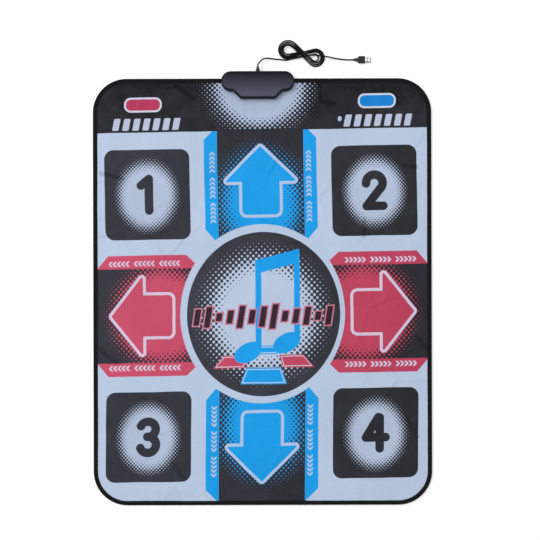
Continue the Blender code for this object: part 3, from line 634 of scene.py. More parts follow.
def refinish(material, *nodes):
    """Gives solids of the model a finish."""
    for node in nodes:
        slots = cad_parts[node].data.materials
        slots.clear()
        slots.append(material)


DRAWN_LINES = (60.0, 900.0, 900.0)


def plated_metal(name, colour, roughness):
    """Thin plated metal with faint drawing lines along one direction."""
    material, tree, shader = new_finish(name, roughness, metallic=1.0)
    stretch = tree.nodes.new("ShaderNodeMapping")
    stretch.inputs["Scale"].default_value = DRAWN_LINES
    tree.links.new(object_place(tree), stretch.inputs["Vector"])
    lines = noise_node(tree, stretch.outputs[0], 4.0)
    darker = tuple(c * 0.72 for c in colour)
    tree.links.new(blend_colours(tree, darker, colour, lines), shader.inputs["Base Color"])
    gloss = range_node(tree, lines, 0.3, 0.7, roughness - 0.08, roughness + 0.1)
    tree.links.new(gloss, shader.inputs["Roughness"])
    raise_surface(tree, shader, lines, 0.00001)
    return material


# Where dark reflections and shade are painted on the shell's plating, as shares of its length and of its
# width
SHELL_MOUTH = (0.80, 0.88)
SHELL_SIDE = (0.18, 0.10)
SHELL_HOLES_ALONG = 0.426
SHELL_HOLES_ASIDE = 0.25
SHELL_HOLE_RIM = (0.140, 0.115)


def paint_shell_shade(material):
    """Paints dark reflections and shade on the plating at the rolled mouth, along one side and round the two
    punched holes.
    """
    tree = material.node_tree
    shader = tree.nodes["Principled BSDF"]
    place = parts_of(tree, tree.nodes.new("ShaderNodeTexCoord").outputs["Generated"])
    along, across = place["X"], place["Y"]
    mouth = range_node(tree, along, *SHELL_MOUTH)
    side = range_node(tree, across, *SHELL_SIDE)
    from_row = math_node(tree, "ABSOLUTE", math_node(tree, "SUBTRACT", along, SHELL_HOLES_ALONG))
    from_middle = math_node(tree, "ABSOLUTE", math_node(tree, "SUBTRACT", across, 0.5))
    from_hole = math_node(tree, "ABSOLUTE", math_node(tree, "SUBTRACT", from_middle, SHELL_HOLES_ASIDE))
    rims = range_node(tree, math_node(tree, "MAXIMUM", from_row, from_hole), *SHELL_HOLE_RIM)
    painted_shell_shade = math_node(tree, "MAXIMUM", math_node(tree, "MAXIMUM", mouth, side), rims)
    bright = shader.inputs["Base Color"].links[0].from_socket
    tree.links.new(blend_colours(tree, bright, (0.24, 0.24, 0.25), painted_shell_shade), shader.inputs["Base Color"])


plated_steel = plated_metal("plated_steel", (0.80, 0.80, 0.81), 0.4)
paint_shell_shade(plated_steel)
gilt = plated_metal("gilt", (0.83, 0.62, 0.28), 0.28)
tongue_plastic = moulded_plastic(
    "tongue_plastic", (0.010, 0.010, 0.011), (0.016, 0.016, 0.017), 0.5, 1800.0, 0.00003, 0.02, 0.2
)
refinish(plated_steel, "plug_shell")
refinish(tongue_plastic, "plug_tongue")
refinish(gilt, "plug_contact_1", "plug_contact_2", "plug_contact_3", "plug_contact_4")

# Printed cover
# One sheet of coated woven polyester over the foam, sewn in under the edge tape. It is printed all over,
# and it isn't cut round the press zones; here it is divided over each zone, and the middle part moves
# with the zone when it is trodden on, while the strip round its edge stays where it is. It keeps soft folds
# from being rolled up.

MAT_W = 0.738
MAT_L = 0.930
MAT_CORNER_R = 0.074
COVER_TOP = 0.0091
COVER_TUCK = 0.0065
LAYOUT_Y = -0.0475
ARROW_HALF_W = 0.0925
SIDE_ARROW = (0.2693, 0.0877, 0.1025)
CORNER_AT = (0.2472, 0.2639)
CORNER_HALF = (0.0920, 0.0983)
KEY_AT = (0.2545, 0.412)
KEY_HALF = (0.0408, 0.0157)
PANEL_STRIP = 0.014
KEY_STRIP = 0.007

# Middle, half width, half length and width of the edge strip of each press zone
PRESS_ZONES = {
    "up": (0.0, 0.2495, ARROW_HALF_W, 0.1010, PANEL_STRIP),
    "down": (0.0, -0.3483, ARROW_HALF_W, 0.1048, PANEL_STRIP),
    "left": (-SIDE_ARROW[0], LAYOUT_Y, *SIDE_ARROW[1:], PANEL_STRIP),
    "right": (SIDE_ARROW[0], LAYOUT_Y, *SIDE_ARROW[1:], PANEL_STRIP),
}
for number, (side_x, side_y) in enumerate(((-1, 1), (1, 1), (-1, -1), (1, -1)), 1):
    corner_at = (side_x * CORNER_AT[0], LAYOUT_Y + side_y * CORNER_AT[1])
    PRESS_ZONES[f"corner_{number}"] = (*corner_at, *CORNER_HALF, PANEL_STRIP)
for key, side_x in (("select", -1), ("start", 1)):
    PRESS_ZONES[key] = (side_x * KEY_AT[0], KEY_AT[1], *KEY_HALF, KEY_STRIP)


def smooth_ramp(value, low, high):
    """Smooth step from 0 to 1 over an array."""
    u = np.clip((value - low) / (high - low), 0.0, 1.0)
    return u * u * (3 - 2 * u)


def distance_to_edge(x, y):
    """How far inside the mat's rounded outline a point lies."""
    over_x = np.abs(x) - (MAT_W / 2 - MAT_CORNER_R)
    over_y = np.abs(y) - (MAT_L / 2 - MAT_CORNER_R)
    outside = np.hypot(np.maximum(over_x, 0.0), np.maximum(over_y, 0.0))
    return MAT_CORNER_R - outside - np.minimum(np.maximum(over_x, over_y), 0.0)


SLACK_STEP = 0.008
SLACK_SPARE = 0.0009
SLACK_STARTS = [(23.0, 31.0, 0.0), (-41.0, 17.0, 1.0), (67.0, 12.0, 2.0), (9.0, -73.0, 3.0)]
SLACK_MOMENTS = 20
SLACK_BETWEEN = (-0.0007, 0.0018)
SLACK_ON_FOAM = 0.35
SEAM_W = 0.012
CLOTH_SETTINGS = {
    "quality": 5,
    "mass": 0.05,
    "tension_stiffness": 30.0,
    "compression_stiffness": 30.0,
    "shear_stiffness": 12.0,
    "bending_stiffness": 3.0,
    "tension_damping": 8.0,
    "compression_damping": 8.0,
    "shear_damping": 8.0,
    "air_damping": 3.0,
    "vertex_group_mass": "seam",
    "shrink_min": -SLACK_SPARE,
}


def slack_of_cover():
    """Heights, on a grid, of the cloth once it is sewn in: it is a little too large for its seam, so that it
    buckles into low soft folds. The foam holds it up from below."""
    grid_x, grid_y = np.meshgrid(
        np.arange(-MAT_W / 2, MAT_W / 2 + SLACK_STEP, SLACK_STEP),
        np.arange(-MAT_L / 2, MAT_L / 2 + SLACK_STEP, SLACK_STEP),
    )
    start = np.zeros_like(grid_x)
    for across, along, phase in SLACK_STARTS:
        start = start + 0.0002 * np.sin(grid_x * across + grid_y * along + phase)
    number = np.arange(grid_x.size).reshape(grid_x.shape)
    faces = np.stack([number[:-1, :-1], number[:-1, 1:], number[1:, 1:], number[1:, :-1]], axis=-1)
    places = np.stack([grid_x, grid_y, start], axis=-1)
    mesh = bpy.data.meshes.new("slack")
    mesh.from_pydata(places.reshape(-1, 3).tolist(), [], faces.reshape(-1, 4).tolist())
    slack = bpy.data.objects.new("slack", mesh)
    bpy.context.scene.collection.objects.link(slack)
    seam = slack.vertex_groups.new(name="seam")
    sewn = np.flatnonzero(distance_to_edge(grid_x, grid_y).ravel() < SEAM_W)
    seam.add(sewn.tolist(), 1.0, "REPLACE")
    cloth = slack.modifiers.new("cloth", "CLOTH")
    for label, value in CLOTH_SETTINGS.items():
        setattr(cloth.settings, label, value)
    cloth.settings.effector_weights.gravity = 0.0
    cloth.collision_settings.use_collision = False
    for moment in range(1, SLACK_MOMENTS + 1):
        bpy.context.scene.frame_set(moment)
    settled = slack.evaluated_get(bpy.context.evaluated_depsgraph_get()).to_mesh()
    places = np.zeros(3 * len(settled.vertices))
    settled.vertices.foreach_get("co", places)
    height = places.reshape(-1, 3)[:, 2].reshape(grid_x.shape)
    bpy.data.objects.remove(slack)
    bpy.context.scene.frame_set(1)
    height = np.where(height > 0.0, height, height * SLACK_ON_FOAM)
    for _ in range(2):
        beside = height[:-2, 1:-1] + height[2:, 1:-1] + height[1:-1, :-2] + height[1:-1, 2:]
        height[1:-1, 1:-1] = height[1:-1, 1:-1] * 0.5 + beside * 0.125
    return np.clip(height, *SLACK_BETWEEN)


slack_height = slack_of_cover()


def slack_at(x, y):
    """The slack cloth's height between the grid's points, on smooth curves through them."""
    total = np.zeros_like(x)
    rows = (y + MAT_L / 2) / SLACK_STEP
    columns = (x + MAT_W / 2) / SLACK_STEP
    row_weights, column_weights = [], []
    for place, weights in ((rows, row_weights), (columns, column_weights)):
        f = place - np.floor(place)
        weights.append(-0.5 * f + f**2 - 0.5 * f**3)
        weights.append(1.0 - 2.5 * f**2 + 1.5 * f**3)
        weights.append(0.5 * f + 2.0 * f**2 - 1.5 * f**3)
        weights.append(-0.5 * f**2 + 0.5 * f**3)
    for down, row_weight in enumerate(row_weights):
        row = np.clip(np.floor(rows).astype(int) + down - 1, 0, slack_height.shape[0] - 1)
        for right, column_weight in enumerate(column_weights):
            column = np.clip(np.floor(columns).astype(int) + right - 1, 0, slack_height.shape[1] - 1)
            total = total + row_weight * column_weight * slack_height[row, column]
    return total


# Ridges left by folding: start, end, height before FOLD_LIFT, and half width
COVER_FOLDS = [
    ((0.133, 0.455), (0.140, 0.395), 0.0007, 0.006),
    ((0.148, 0.450), (0.175, 0.400), 0.0005, 0.005),
    ((-0.250, 0.452), (-0.165, 0.432), 0.0006, 0.005),
    ((-0.330, 0.425), (-0.265, 0.452), 0.0005, 0.006),
    ((-0.355, 0.250), (-0.285, 0.300), 0.0005, 0.006),
    ((0.175, 0.255), (0.330, 0.165), 0.0004, 0.007),
    ((-0.353, 0.030), (-0.300, -0.045), 0.0005, 0.006),
    ((0.355, -0.085), (0.290, -0.130), 0.0006, 0.006),
    ((-0.330, -0.235), (-0.270, -0.300), 0.0004, 0.005),
    ((0.170, -0.345), (0.245, -0.395), 0.0004, 0.006),
    ((-0.060, -0.275), (0.045, -0.300), 0.0003, 0.007),
    ((0.030, 0.080), (0.120, 0.010), 0.0003, 0.007),
]
FOLD_LIFT = 2.1

# Low waves: how fast they turn across and along the mat, their phase and their height
COVER_WAVES = [
    (31.0, 12.0, 0.4, 0.00022),
    (-14.0, 37.0, 1.9, 0.00024),
    (52.0, -23.0, 3.1, 0.00012),
    (19.0, 58.0, 5.2, 0.00012),
    (75.0, 41.0, 0.9, 0.00006),
    (-63.0, 88.0, 2.6, 0.00005),
]

# The seam holds the cover down at its edge, and so does the box, given by half its width and its front
COVER_LIFT = 0.0009
FREE_OF_SEAM = (0.0095, 0.040)
BOX_HOLD = (0.080, 0.4193)
FREE_OF_BOX = (0.002, 0.035)
FREE_UNDER_BOX = 0.15

# Each zone's pad lifts the cover, and a shallow furrow runs round it
PAD_LIFT = 0.0006
PAD_EDGE = (-0.004, 0.022)
FURROW_DEPTH = 0.00025
FURROW_W = 0.004

# Puckers beside the tape, strongest in the corners
PUCKER_LIFT = 0.00022
PUCKER_TURN = 58.0
PUCKER_AT = 0.022
PUCKER_W = 0.012


def cover_height(x, y):
    """Height of the cover's printed face over the floor."""
    inside = distance_to_edge(x, y)
    free = smooth_ramp(inside, *FREE_OF_SEAM)
    aside_of_box = np.maximum(np.abs(x - BOX_X) - BOX_HOLD[0], 0.0)
    box_gap = np.hypot(aside_of_box, np.maximum(BOX_HOLD[1] - y, 0.0))
    free = free * (FREE_UNDER_BOX + (1 - FREE_UNDER_BOX) * smooth_ramp(box_gap, *FREE_OF_BOX))
    wave = np.zeros_like(x)
    for across, along, phase, size in COVER_WAVES:
        wave = wave + size * np.sin(x * across + y * along + phase)
    pillow = np.zeros_like(x)
    for zone_x, zone_y, half_w, half_l, _ in PRESS_ZONES.values():
        gap = np.maximum(np.abs(x - zone_x) - half_w, np.abs(y - zone_y) - half_l)
        pillow = pillow + PAD_LIFT * smooth_ramp(-gap, *PAD_EDGE)
        pillow = pillow - FURROW_DEPTH * np.exp(-((gap / FURROW_W) ** 2))
    fold = np.zeros_like(x)
    for (x0, y0), (x1, y1), size, half in COVER_FOLDS:
        length = math.hypot(x1 - x0, y1 - y0)
        ax, ay = (x1 - x0) / length, (y1 - y0) / length
        along = ((x - x0) * ax + (y - y0) * ay) / length
        across = (x - x0) * -ay + (y - y0) * ax + 0.004 * np.sin(along * 5.0)
        fade = smooth_ramp(along, -0.15, 0.25) * smooth_ramp(-along, -1.15, -0.75)
        fold = fold + size * fade * np.exp(-((across / half) ** 2))
    along_edge = x - y * np.sign(x) * np.sign(y)
    beside_seam = np.exp(-((inside - PUCKER_AT) / PUCKER_W) ** 2)
    puckers = PUCKER_LIFT * np.sin(PUCKER_TURN * along_edge) * beside_seam
    corner = smooth_ramp(np.abs(x), 0.25, 0.33) * smooth_ramp(np.abs(y), 0.34, 0.42)
    lift = COVER_LIFT + wave + pillow + fold * FOLD_LIFT + slack_at(x, y) + puckers * (0.3 + corner)
    return COVER_TOP + 0.0001 + free * lift


def outline_of_mat(inset, step):
    """Points round the mat's edge, held in by inset, at about this spacing."""
    half_w, half_l, radius = MAT_W / 2 - inset, MAT_L / 2 - inset, MAT_CORNER_R - inset
    points = []
    for quarter in range(4):
        side_x = 1 if quarter in (0, 3) else -1
        side_y = 1 if quarter < 2 else -1
        cx, cy = side_x * (half_w - radius), side_y * (half_l - radius)
        bends = max(3, round(radius * math.pi / 2 / step))
        for k in range(bends + 1):
            angle = (quarter + k / bends) * math.pi / 2
            points.append((cx + radius * math.cos(angle), cy + radius * math.sin(angle)))
    closed = []
    for here, after in zip(points, points[1:] + points[:1]):
        count = max(1, round(math.dist(here, after) / step))
        for k in range(count):
            u = k / count
            closed.append((here[0] + (after[0] - here[0]) * u, here[1] + (after[1] - here[1]) * u))
    return closed


def lines_round_zones():
    """Where the cover is divided over each press zone: the zone's edge, the inner edge of the strip round
    it, and the mitres between them."""
    lines = []
    for zone_x, zone_y, half_w, half_l, strip in PRESS_ZONES.values():
        frames = []
        for inset in (0.0, strip):
            w, l = half_w - inset, half_l - inset
            sides = ((1, 1), (-1, 1), (-1, -1), (1, -1))
            frames.append([(zone_x + side_x * w, zone_y + side_y * l) for side_x, side_y in sides])
        for corners in frames:
            lines += list(zip(corners, corners[1:] + corners[:1]))
        lines += list(zip(*frames))
    return lines


def divide_cover(step):
    """The cover laid flat as triangles, with edges along every dividing line."""
    points, edges = [], []

    def chain(places, closed):
        first = len(points)
        points.extend(Vector(p) for p in places)
        last = len(points) - 1
        edges.extend((k, k + 1) for k in range(first, last))
        if closed:
            edges.append((last, first))

    chain(outline_of_mat(COVER_TUCK, step), True)
    lines = lines_round_zones()
    for (x0, y0), (x1, y1) in lines:
        count = max(2, round(math.hypot(x1 - x0, y1 - y0) / step))
        chain([(x0 + (x1 - x0) * k / count, y0 + (y1 - y0) * k / count) for k in range(count + 1)], False)
    rows = np.arange(-MAT_L / 2, MAT_L / 2, step * 0.866)
    grid = []
    for number, y in enumerate(rows):
        across = np.arange(-MAT_W / 2, MAT_W / 2, step) + (step / 2 if number % 2 else 0.0)
        grid.append(np.stack([across, np.full_like(across, y)], axis=1))
    grid = np.concatenate(grid)
    clear = distance_to_edge(grid[:, 0], grid[:, 1]) > COVER_TUCK + step * 0.55
    for (x0, y0), (x1, y1) in lines:
        run = np.array((x1 - x0, y1 - y0))
        from_start = grid - np.array((x0, y0))
        along = np.clip(from_start @ run / (run @ run), 0.0, 1.0)
        clear &= np.linalg.norm(from_start - along[:, None] * run, axis=1) > step * 0.5
    points.extend(Vector(p) for p in grid[clear])
    places, _, faces, _, _, _ = delaunay_2d_cdt(points, edges, [], 0, 1e-6)
    return np.array(places), np.array(faces)


COVER_STEP = 0.0050
flat_places, flat_faces = divide_cover(COVER_STEP)
face_x, face_y = flat_places[flat_faces].mean(axis=1).T
owner = np.full(len(flat_faces), "", dtype=object)
owner[distance_to_edge(face_x, face_y) > COVER_TUCK] = "cover"
STRIP_SIDES = ("right", "left", "top", "bottom")
for zone, (zone_x, zone_y, half_w, half_l, strip) in PRESS_ZONES.items():
    gaps = np.stack([
        zone_x + half_w - face_x,
        face_x - zone_x + half_w,
        zone_y + half_l - face_y,
        face_y - zone_y + half_l,
    ])
    nearest = gaps.min(axis=0)
    owner[nearest > strip] = f"{zone}_face"
    for side, label in enumerate(STRIP_SIDES):
        owner[(nearest > 0) & (nearest <= strip) & (gaps.argmin(axis=0) == side)] = f"{zone}_strip_{label}"


def cover_piece(name, material):
    """One divided part of the cover, raised to its height, with the whole cover's normals at its edges."""
    faces = flat_faces[owner == name]
    used, faces = np.unique(faces, return_inverse=True)
    faces = faces.reshape(-1, 3)
    x, y = flat_places[used].T
    mesh = bpy.data.meshes.new(name)
    mesh.from_pydata(np.c_[x, y, cover_height(x, y)].tolist(), [], faces.tolist())
    mesh.polygons.foreach_set("use_smooth", np.ones(len(faces), bool))
    reach = 0.0004
    lean_x = (cover_height(x + reach, y) - cover_height(x - reach, y)) / (2 * reach)
    lean_y = (cover_height(x, y + reach) - cover_height(x, y - reach)) / (2 * reach)
    normals = np.c_[-lean_x, -lean_y, np.ones_like(x)]
    normals /= np.linalg.norm(normals, axis=1)[:, None]
    mesh.normals_split_custom_set_from_vertices(normals.tolist())
    layer = mesh.uv_layers.new(name="OFBake")
    corner = np.zeros(len(mesh.loops), np.int32)
    mesh.loops.foreach_get("vertex_index", corner)
    flat = np.c_[(x - x.min()) / np.ptp(x), (y - y.min()) / np.ptp(y)]
    layer.data.foreach_set("uv", (0.004 + 0.992 * flat[corner]).ravel())
    return new_mesh_piece(name, mesh, material)


plain_weave, weave_in, weave_out = new_group(
    "Plain Weave", {"Threads per Metre": 1700.0}, ("Height", "Gap Shade")
)
weave_place = parts_of(plain_weave, object_place(plain_weave))
weave_counts, weave_threads = [], []
for axis in ("X", "Y"):
    turns = math_node(plain_weave, "MULTIPLY", weave_place[axis], weave_in.outputs["Threads per Metre"])
    half_turn = math_node(plain_weave, "MULTIPLY", math_node(plain_weave, "FRACT", turns), math.pi)
    weave_counts.append(math_node(plain_weave, "FLOOR", turns))
    weave_threads.append(math_node(plain_weave, "SINE", half_turn))
over_under = math_node(plain_weave, "PINGPONG", math_node(plain_weave, "ADD", *weave_counts), 1.0)
over_height = math_node(plain_weave, "MULTIPLY", weave_threads[0], over_under)
under_share = math_node(plain_weave, "SUBTRACT", 1.0, over_under)
weave_height = math_node(plain_weave, "MULTIPLY_ADD", weave_threads[1], under_share, over_height)
# Painted shade in the gaps between the threads
weave_gap_shade = range_node(plain_weave, math_node(plain_weave, "MULTIPLY", *weave_threads), 0.0, 0.5, 1.0, 0.0)
plain_weave.links.new(weave_height, weave_out.inputs["Height"])
plain_weave.links.new(weave_gap_shade, weave_out.inputs["Gap Shade"])


PRINT_EDGE = 0.7
DOT_EDGE = 0.35


class Ink:
    """A number that changes over the printed face, worked out by math nodes. Lengths are in millimetres."""

    def __init__(self, socket):
        self.socket = socket

    def step(self, operation, *others, held=False):
        tree = self.socket.id_data
        values = [v.socket if isinstance(v, Ink) else float(v) for v in (self, *others)]
        result = Ink(math_node(tree, operation, *values))
        result.socket.node.use_clamp = held
        return result

    def __add__(self, other):
        return self.step("ADD", other)

    def __sub__(self, other):
        return self.step("SUBTRACT", other)

    def __mul__(self, other):
        return self.step("MULTIPLY", other)

    def __neg__(self):
        return self.step("MULTIPLY", -1.0)

    def __abs__(self):
        return self.step("ABSOLUTE")

    def times_plus(self, factor, extra):
        return self.step("MULTIPLY_ADD", factor, extra)

    def least(self, other):
        return self.step("MINIMUM", other)

    def most(self, other, rounding=0.0):
        if rounding:
            return self.step("SMOOTH_MAX", other, rounding)
        return self.step("MAXIMUM", other)

    def sign(self):
        return self.step("SIGN")

    def within(self, factor=1.0, extra=0.0):
        """The number times a factor, plus an extra, held between 0 and 1."""
        return self.step("MULTIPLY_ADD", factor, extra, held=True)

    def inside(self):
        """A mask of where a distance is below nothing."""
        return self.within(-1.0 / PRINT_EDGE, 0.5)


def far(a, b):
    """Distance from nothing of the point (a, b)."""
    return (a * a).step("ADD", b * b).step("SQRT")


def box_shape(a, b, half_a, half_b, corner=0.0):
    """Distance to a rectangle with round corners round nothing."""
    over_a = abs(a) - (half_a - corner)
    over_b = abs(b) - (half_b - corner)
    outer = far(over_a.most(0.0), over_b.most(0.0))
    return outer + over_a.most(over_b).least(0.0) - corner


def stroke(a, b, start, end, half):
    """Distance to a line with round ends."""
    run_a, run_b = end[0] - start[0], end[1] - start[1]
    long = run_a**2 + run_b**2
    from_a, from_b = a - start[0], b - start[1]
    along = from_a.times_plus(run_a / long, from_b * (run_b / long))
    along = along.within()
    return far(along.times_plus(-run_a, from_a), along.times_plus(-run_b, from_b)) - half


def strokes(a, b, half, *runs):
    """Distance to the nearest of several lines with round ends, each given as its start and its end."""
    nearest = stroke(a, b, *runs[0], half)
    for start, end in runs[1:]:
        nearest = nearest.least(stroke(a, b, start, end, half))
    return nearest


def dot_screen(a, b, pitch, share):
    """Round dots in staggered rows that grow with the share of the face that they cover."""
    spots = (a * (2 * math.pi / pitch[0])).step("COSINE") * (b * (2 * math.pi / pitch[1])).step("COSINE")
    threshold = share.times_plus(-2.4, 1.2)
    return (spots - threshold).within(1.0 / DOT_EDGE, 0.5)


printed_cloth, cloth_tree, cloth_shader = new_finish("printed_cloth", 0.5, specular=0.14)
cloth_spot = object_place(cloth_tree)
cloth_place = parts_of(cloth_tree, cloth_spot)
sheet_x = Ink(cloth_place["X"]) * 1000.0
sheet_y = Ink(cloth_place["Y"]) * 1000.0 - LAYOUT_Y * 1000.0
ruffle_across = Ink(noise_node(cloth_tree, cloth_spot, 9.0, 1.0)) * 2.0 - 1.0
ruffle_up = Ink(noise_node(cloth_tree, cloth_spot, 11.0, 1.0)) * 2.0 - 1.0

# The cloth was printed about a degree askew, and its middle has slid a little to one side
PRINT_SHEAR = 0.0026
PRINT_TILT = 0.0166
PRINT_AT = (1.65, 0.3)
BOW_TURN = 0.0073
BOW_DEPTH = 2.0
bowed = (sheet_y * BOW_TURN).step("COSINE") * -BOW_DEPTH + PRINT_AT[0]
across = sheet_x + sheet_y * PRINT_SHEAR + bowed + ruffle_across
up = sheet_y - sheet_x * PRINT_TILT + PRINT_AT[1] + ruffle_up
side_across, side_up = abs(across), abs(up)
left_side, upper_side = across.inside(), (-up).inside()
right_side, lower_side = left_side.times_plus(-1.0, 1.0), upper_side.times_plus(-1.0, 1.0)

PALE_INK = (0.500, 0.602, 0.777)
FAN_INK = (0.44, 0.525, 0.70)
BLUE_INK = (0.004, 0.345, 0.84)
OUTLINE_INK = (0.62, 0.66, 0.80)
SLANT_INK = (0.50, 0.56, 0.71)

BAND_EDGE = 399.5
RING_OUTER = (179.6, 195.2)
DISC = (167.2, 179.2)
PANEL_DOTS = (10.6, 11.8)
DISC_DOTS = (12.6, 13.3)
FAN_DOTS = (10.9, 10.5)
SQUARE_DOTS = (7.4, 8.0)

face = PALE_INK


def print_over(colour, mask):
    """Prints a colour over what is there."""
    global face
    face = blend_colours(cloth_tree, face, colour, mask.socket)


def glow_share(reach, full, none, bend):
    """Share of the face covered: all of it within one radius, falling to none at another."""
    return reach.within(-1 / (none - full), none / (none - full)).step("POWER", bend)


ARROW_CORNER = 8.7
ARROW_LINE = 6.4


def arrow_shapes(out, aside, tip, head_at, head_half, stem_half, stem_end):
    """Distances to an arrow with round corners and to the face inside its outline."""
    tip_at, neck = tip - ARROW_CORNER, head_at + ARROW_CORNER
    wide, narrow, end = head_half - ARROW_CORNER, stem_half - ARROW_CORNER, stem_end + ARROW_CORNER
    path = [(tip_at, 0.0), (neck, wide), (neck, narrow)]
    path += [(end + 6.0, narrow), (end + 1.8, narrow - 1.8), (end, narrow - 6.0), (end, 0.0)]
    reach = strokes(out, aside, 0.0, *zip(path, path[1:]))
    slope = wide / (tip_at - neck)
    flank = (aside + (out - tip_at) * slope) * (1 / math.hypot(1.0, slope))
    stem = (aside - narrow).most(-(out - end - 1.5)).most(out - neck - 1.0)
    core = flank.most(-(out - neck)).least(stem)
    return (reach - ARROW_CORNER).least(core), (reach - (ARROW_CORNER - ARROW_LINE)).least(core)


def print_panel(out, aside, dark_ink, ink, line_ink, far_end, half, glow, arrow):
    """A pair of opposite arrow panels. Out is the way that the arrows point, and aside is across them.
    The glow is its middle, its narrowing, the radii where it is full and gone, and its bend."""
    panel = (aside - half).most(out - far_end)
    print_over(dark_ink, panel.inside())
    centre, narrowing, *fading = glow
    share = glow_share(far(out - centre, aside * narrowing), *fading)
    print_over(ink, dot_screen(across, up, PANEL_DOTS, share) * panel.inside())
    whole, inner_face = arrow_shapes(out, aside, **arrow)
    print_over(line_ink, whole.inside())
    print_over(ink, inner_face.inside())


CHEVRON_PITCH = 4.6
CHEVRON_LINE = 2.5
CHEVRON_HALF = 5.8
CHEVRON_GROUP = 27.6
CHEVRON_GAP = 4.6
CHEVRON_ROW_HALF = 78.2


def print_banner(out, aside, ink, line_ink, edges, near_start, near_tip, far_tip, far_slope, marks_at):
    """The pair of strips beside the panels, with slanted ends and three groups of five chevrons each."""
    inner, outer = edges
    near_slope = (near_start - near_tip[1]) / (outer - near_tip[0])
    near_cut = -(out - near_tip[1]) + (aside - near_tip[0]) * near_slope
    far_cut = (out - far_tip) + (aside - (inner + 6.0)) * far_slope
    strip = (-(aside - inner)).most(aside - outer)
    strip = strip.most(near_cut * (1 / math.hypot(1.0, near_slope)))
    strip = strip.most(far_cut * (1 / math.hypot(1.0, far_slope)))
    print_over(ink, strip.inside())
    from_middle = abs(aside - ((inner + outer) / 2 - 3.5))
    row = (out - marks_at) + from_middle * 0.9
    marks = (row.step("PINGPONG", CHEVRON_PITCH) - CHEVRON_LINE).most(from_middle - CHEVRON_HALF)
    marks = marks.most(row.step("PINGPONG", CHEVRON_GROUP) - (CHEVRON_GROUP - CHEVRON_GAP))
    print_over(line_ink, marks.most(abs(row) - CHEVRON_ROW_HALF).inside())


# Painted sheen: the dark ink is painted lighter in soft patches, more on the left than on the right. Painted
# shade darkens the band towards its back edge
patches = Ink(noise_node(cloth_tree, cloth_spot, 15.0, 5.0, 0.62)) - 0.5
painted_sheen = patches.times_plus(1.9, across.times_plus(-1 / 800.0, 0.5)).within()
panel_ink = blend_colours(cloth_tree, (0.0155, 0.0155, 0.0210), (0.0310, 0.0310, 0.0460), painted_sheen.socket)
disc_ink = blend_colours(cloth_tree, (0.0190, 0.0190, 0.0270), (0.0440, 0.0445, 0.0640), painted_sheen.socket)
painted_rear_shade = patches.times_plus(-3.4, (up - 448.0) * (1 / 110.0) + 0.5).within()
band_ink = blend_colours(cloth_tree, (0.0170, 0.0170, 0.0260), (0.0010, 0.0011, 0.0030), painted_rear_shade.socket)
# Painted shade: the up panel darkens into the band's ink towards its top
painted_shade_upward = (up - 300.0).within(1 / 120.0)
middle_ink = blend_colours(cloth_tree, panel_ink, band_ink, painted_shade_upward.socket)
to_right = across.within(1 / 600.0, 0.5)
red_ink = blend_colours(cloth_tree, (0.605, 0.077, 0.150), (0.505, 0.050, 0.108), to_right.socket)

MIDDLE_LINE_INK = (0.45, 0.57, 0.80)
SIDE_LINE_INK = (0.69, 0.58, 0.74)
print_panel(
    side_up,
    side_across,
    middle_ink,
    BLUE_INK,
    MIDDLE_LINE_INK,
    far_end=420.0,
    half=94.0,
    glow=(240.0, 1.17, 58.0, 158.0, 1.5),
    arrow={"tip": 370.6, "head_at": 281.5, "head_half": 81.3, "stem_half": 47.3, "stem_end": 209.5},
)
print_banner(
    side_up,
    side_across,
    BLUE_INK,
    MIDDLE_LINE_INK,
    edges=(94.0, 122.5),
    near_start=186.0,
    near_tip=(101.5, 161.3),
    far_tip=404.0,
    far_slope=1.0,
    marks_at=279.0,
)
side_out = side_across - right_side * 1.3
print_panel(
    side_out,
    side_up,
    panel_ink,
    red_ink,
    SIDE_LINE_INK,
    far_end=380.0,
    half=103.0,
    glow=(218.0, 1.0, 74.0, 146.0, 1.7),
    arrow={"tip": 335.0, "head_at": 253.5, "head_half": 89.5, "stem_half": 51.4, "stem_end": 190.0},
)
print_banner(
    side_out,
    side_up,
    red_ink,
    SIDE_LINE_INK,
    edges=(102.6, 131.6),
    near_start=165.0,
    near_tip=(112.5, 145.0),
    far_tip=355.0,
    far_slope=0.85,
    marks_at=259.0,
)

# The four corner squares, each with a pale glow and a number
corner_a = side_across - CORNER_AT[0] * 1000
corner_b = side_up - CORNER_AT[1] * 1000
SQUARE_HALF = (92.8, 98.3)
SQUARE_CORNER = 20.0
SQUARE_GLOW_INK = (0.462, 0.548, 0.715)
square = box_shape(corner_a, corner_b, *SQUARE_HALF, SQUARE_CORNER)
print_over(panel_ink, square.inside())
digit_a = across - across.sign() * (CORNER_AT[0] * 1000)
digit_b = up - up.sign() * (CORNER_AT[1] * 1000)
share = glow_share(far(digit_a, (digit_b + 2.2) * 0.86), 43.0, 76.0, 1.1)
print_over(SQUARE_GLOW_INK, dot_screen(across, up, SQUARE_DOTS, share) * square.inside())

DIGIT_LINE = 9.4


def arc(centre_a, centre_b, radius):
    """Distance to a stroke bent into a ring."""
    return abs(far(digit_a - centre_a, digit_b - centre_b) - radius) - DIGIT_LINE


def bars(*runs):
    """Distance to straight strokes of a number."""
    return strokes(digit_a, digit_b, DIGIT_LINE, *runs)


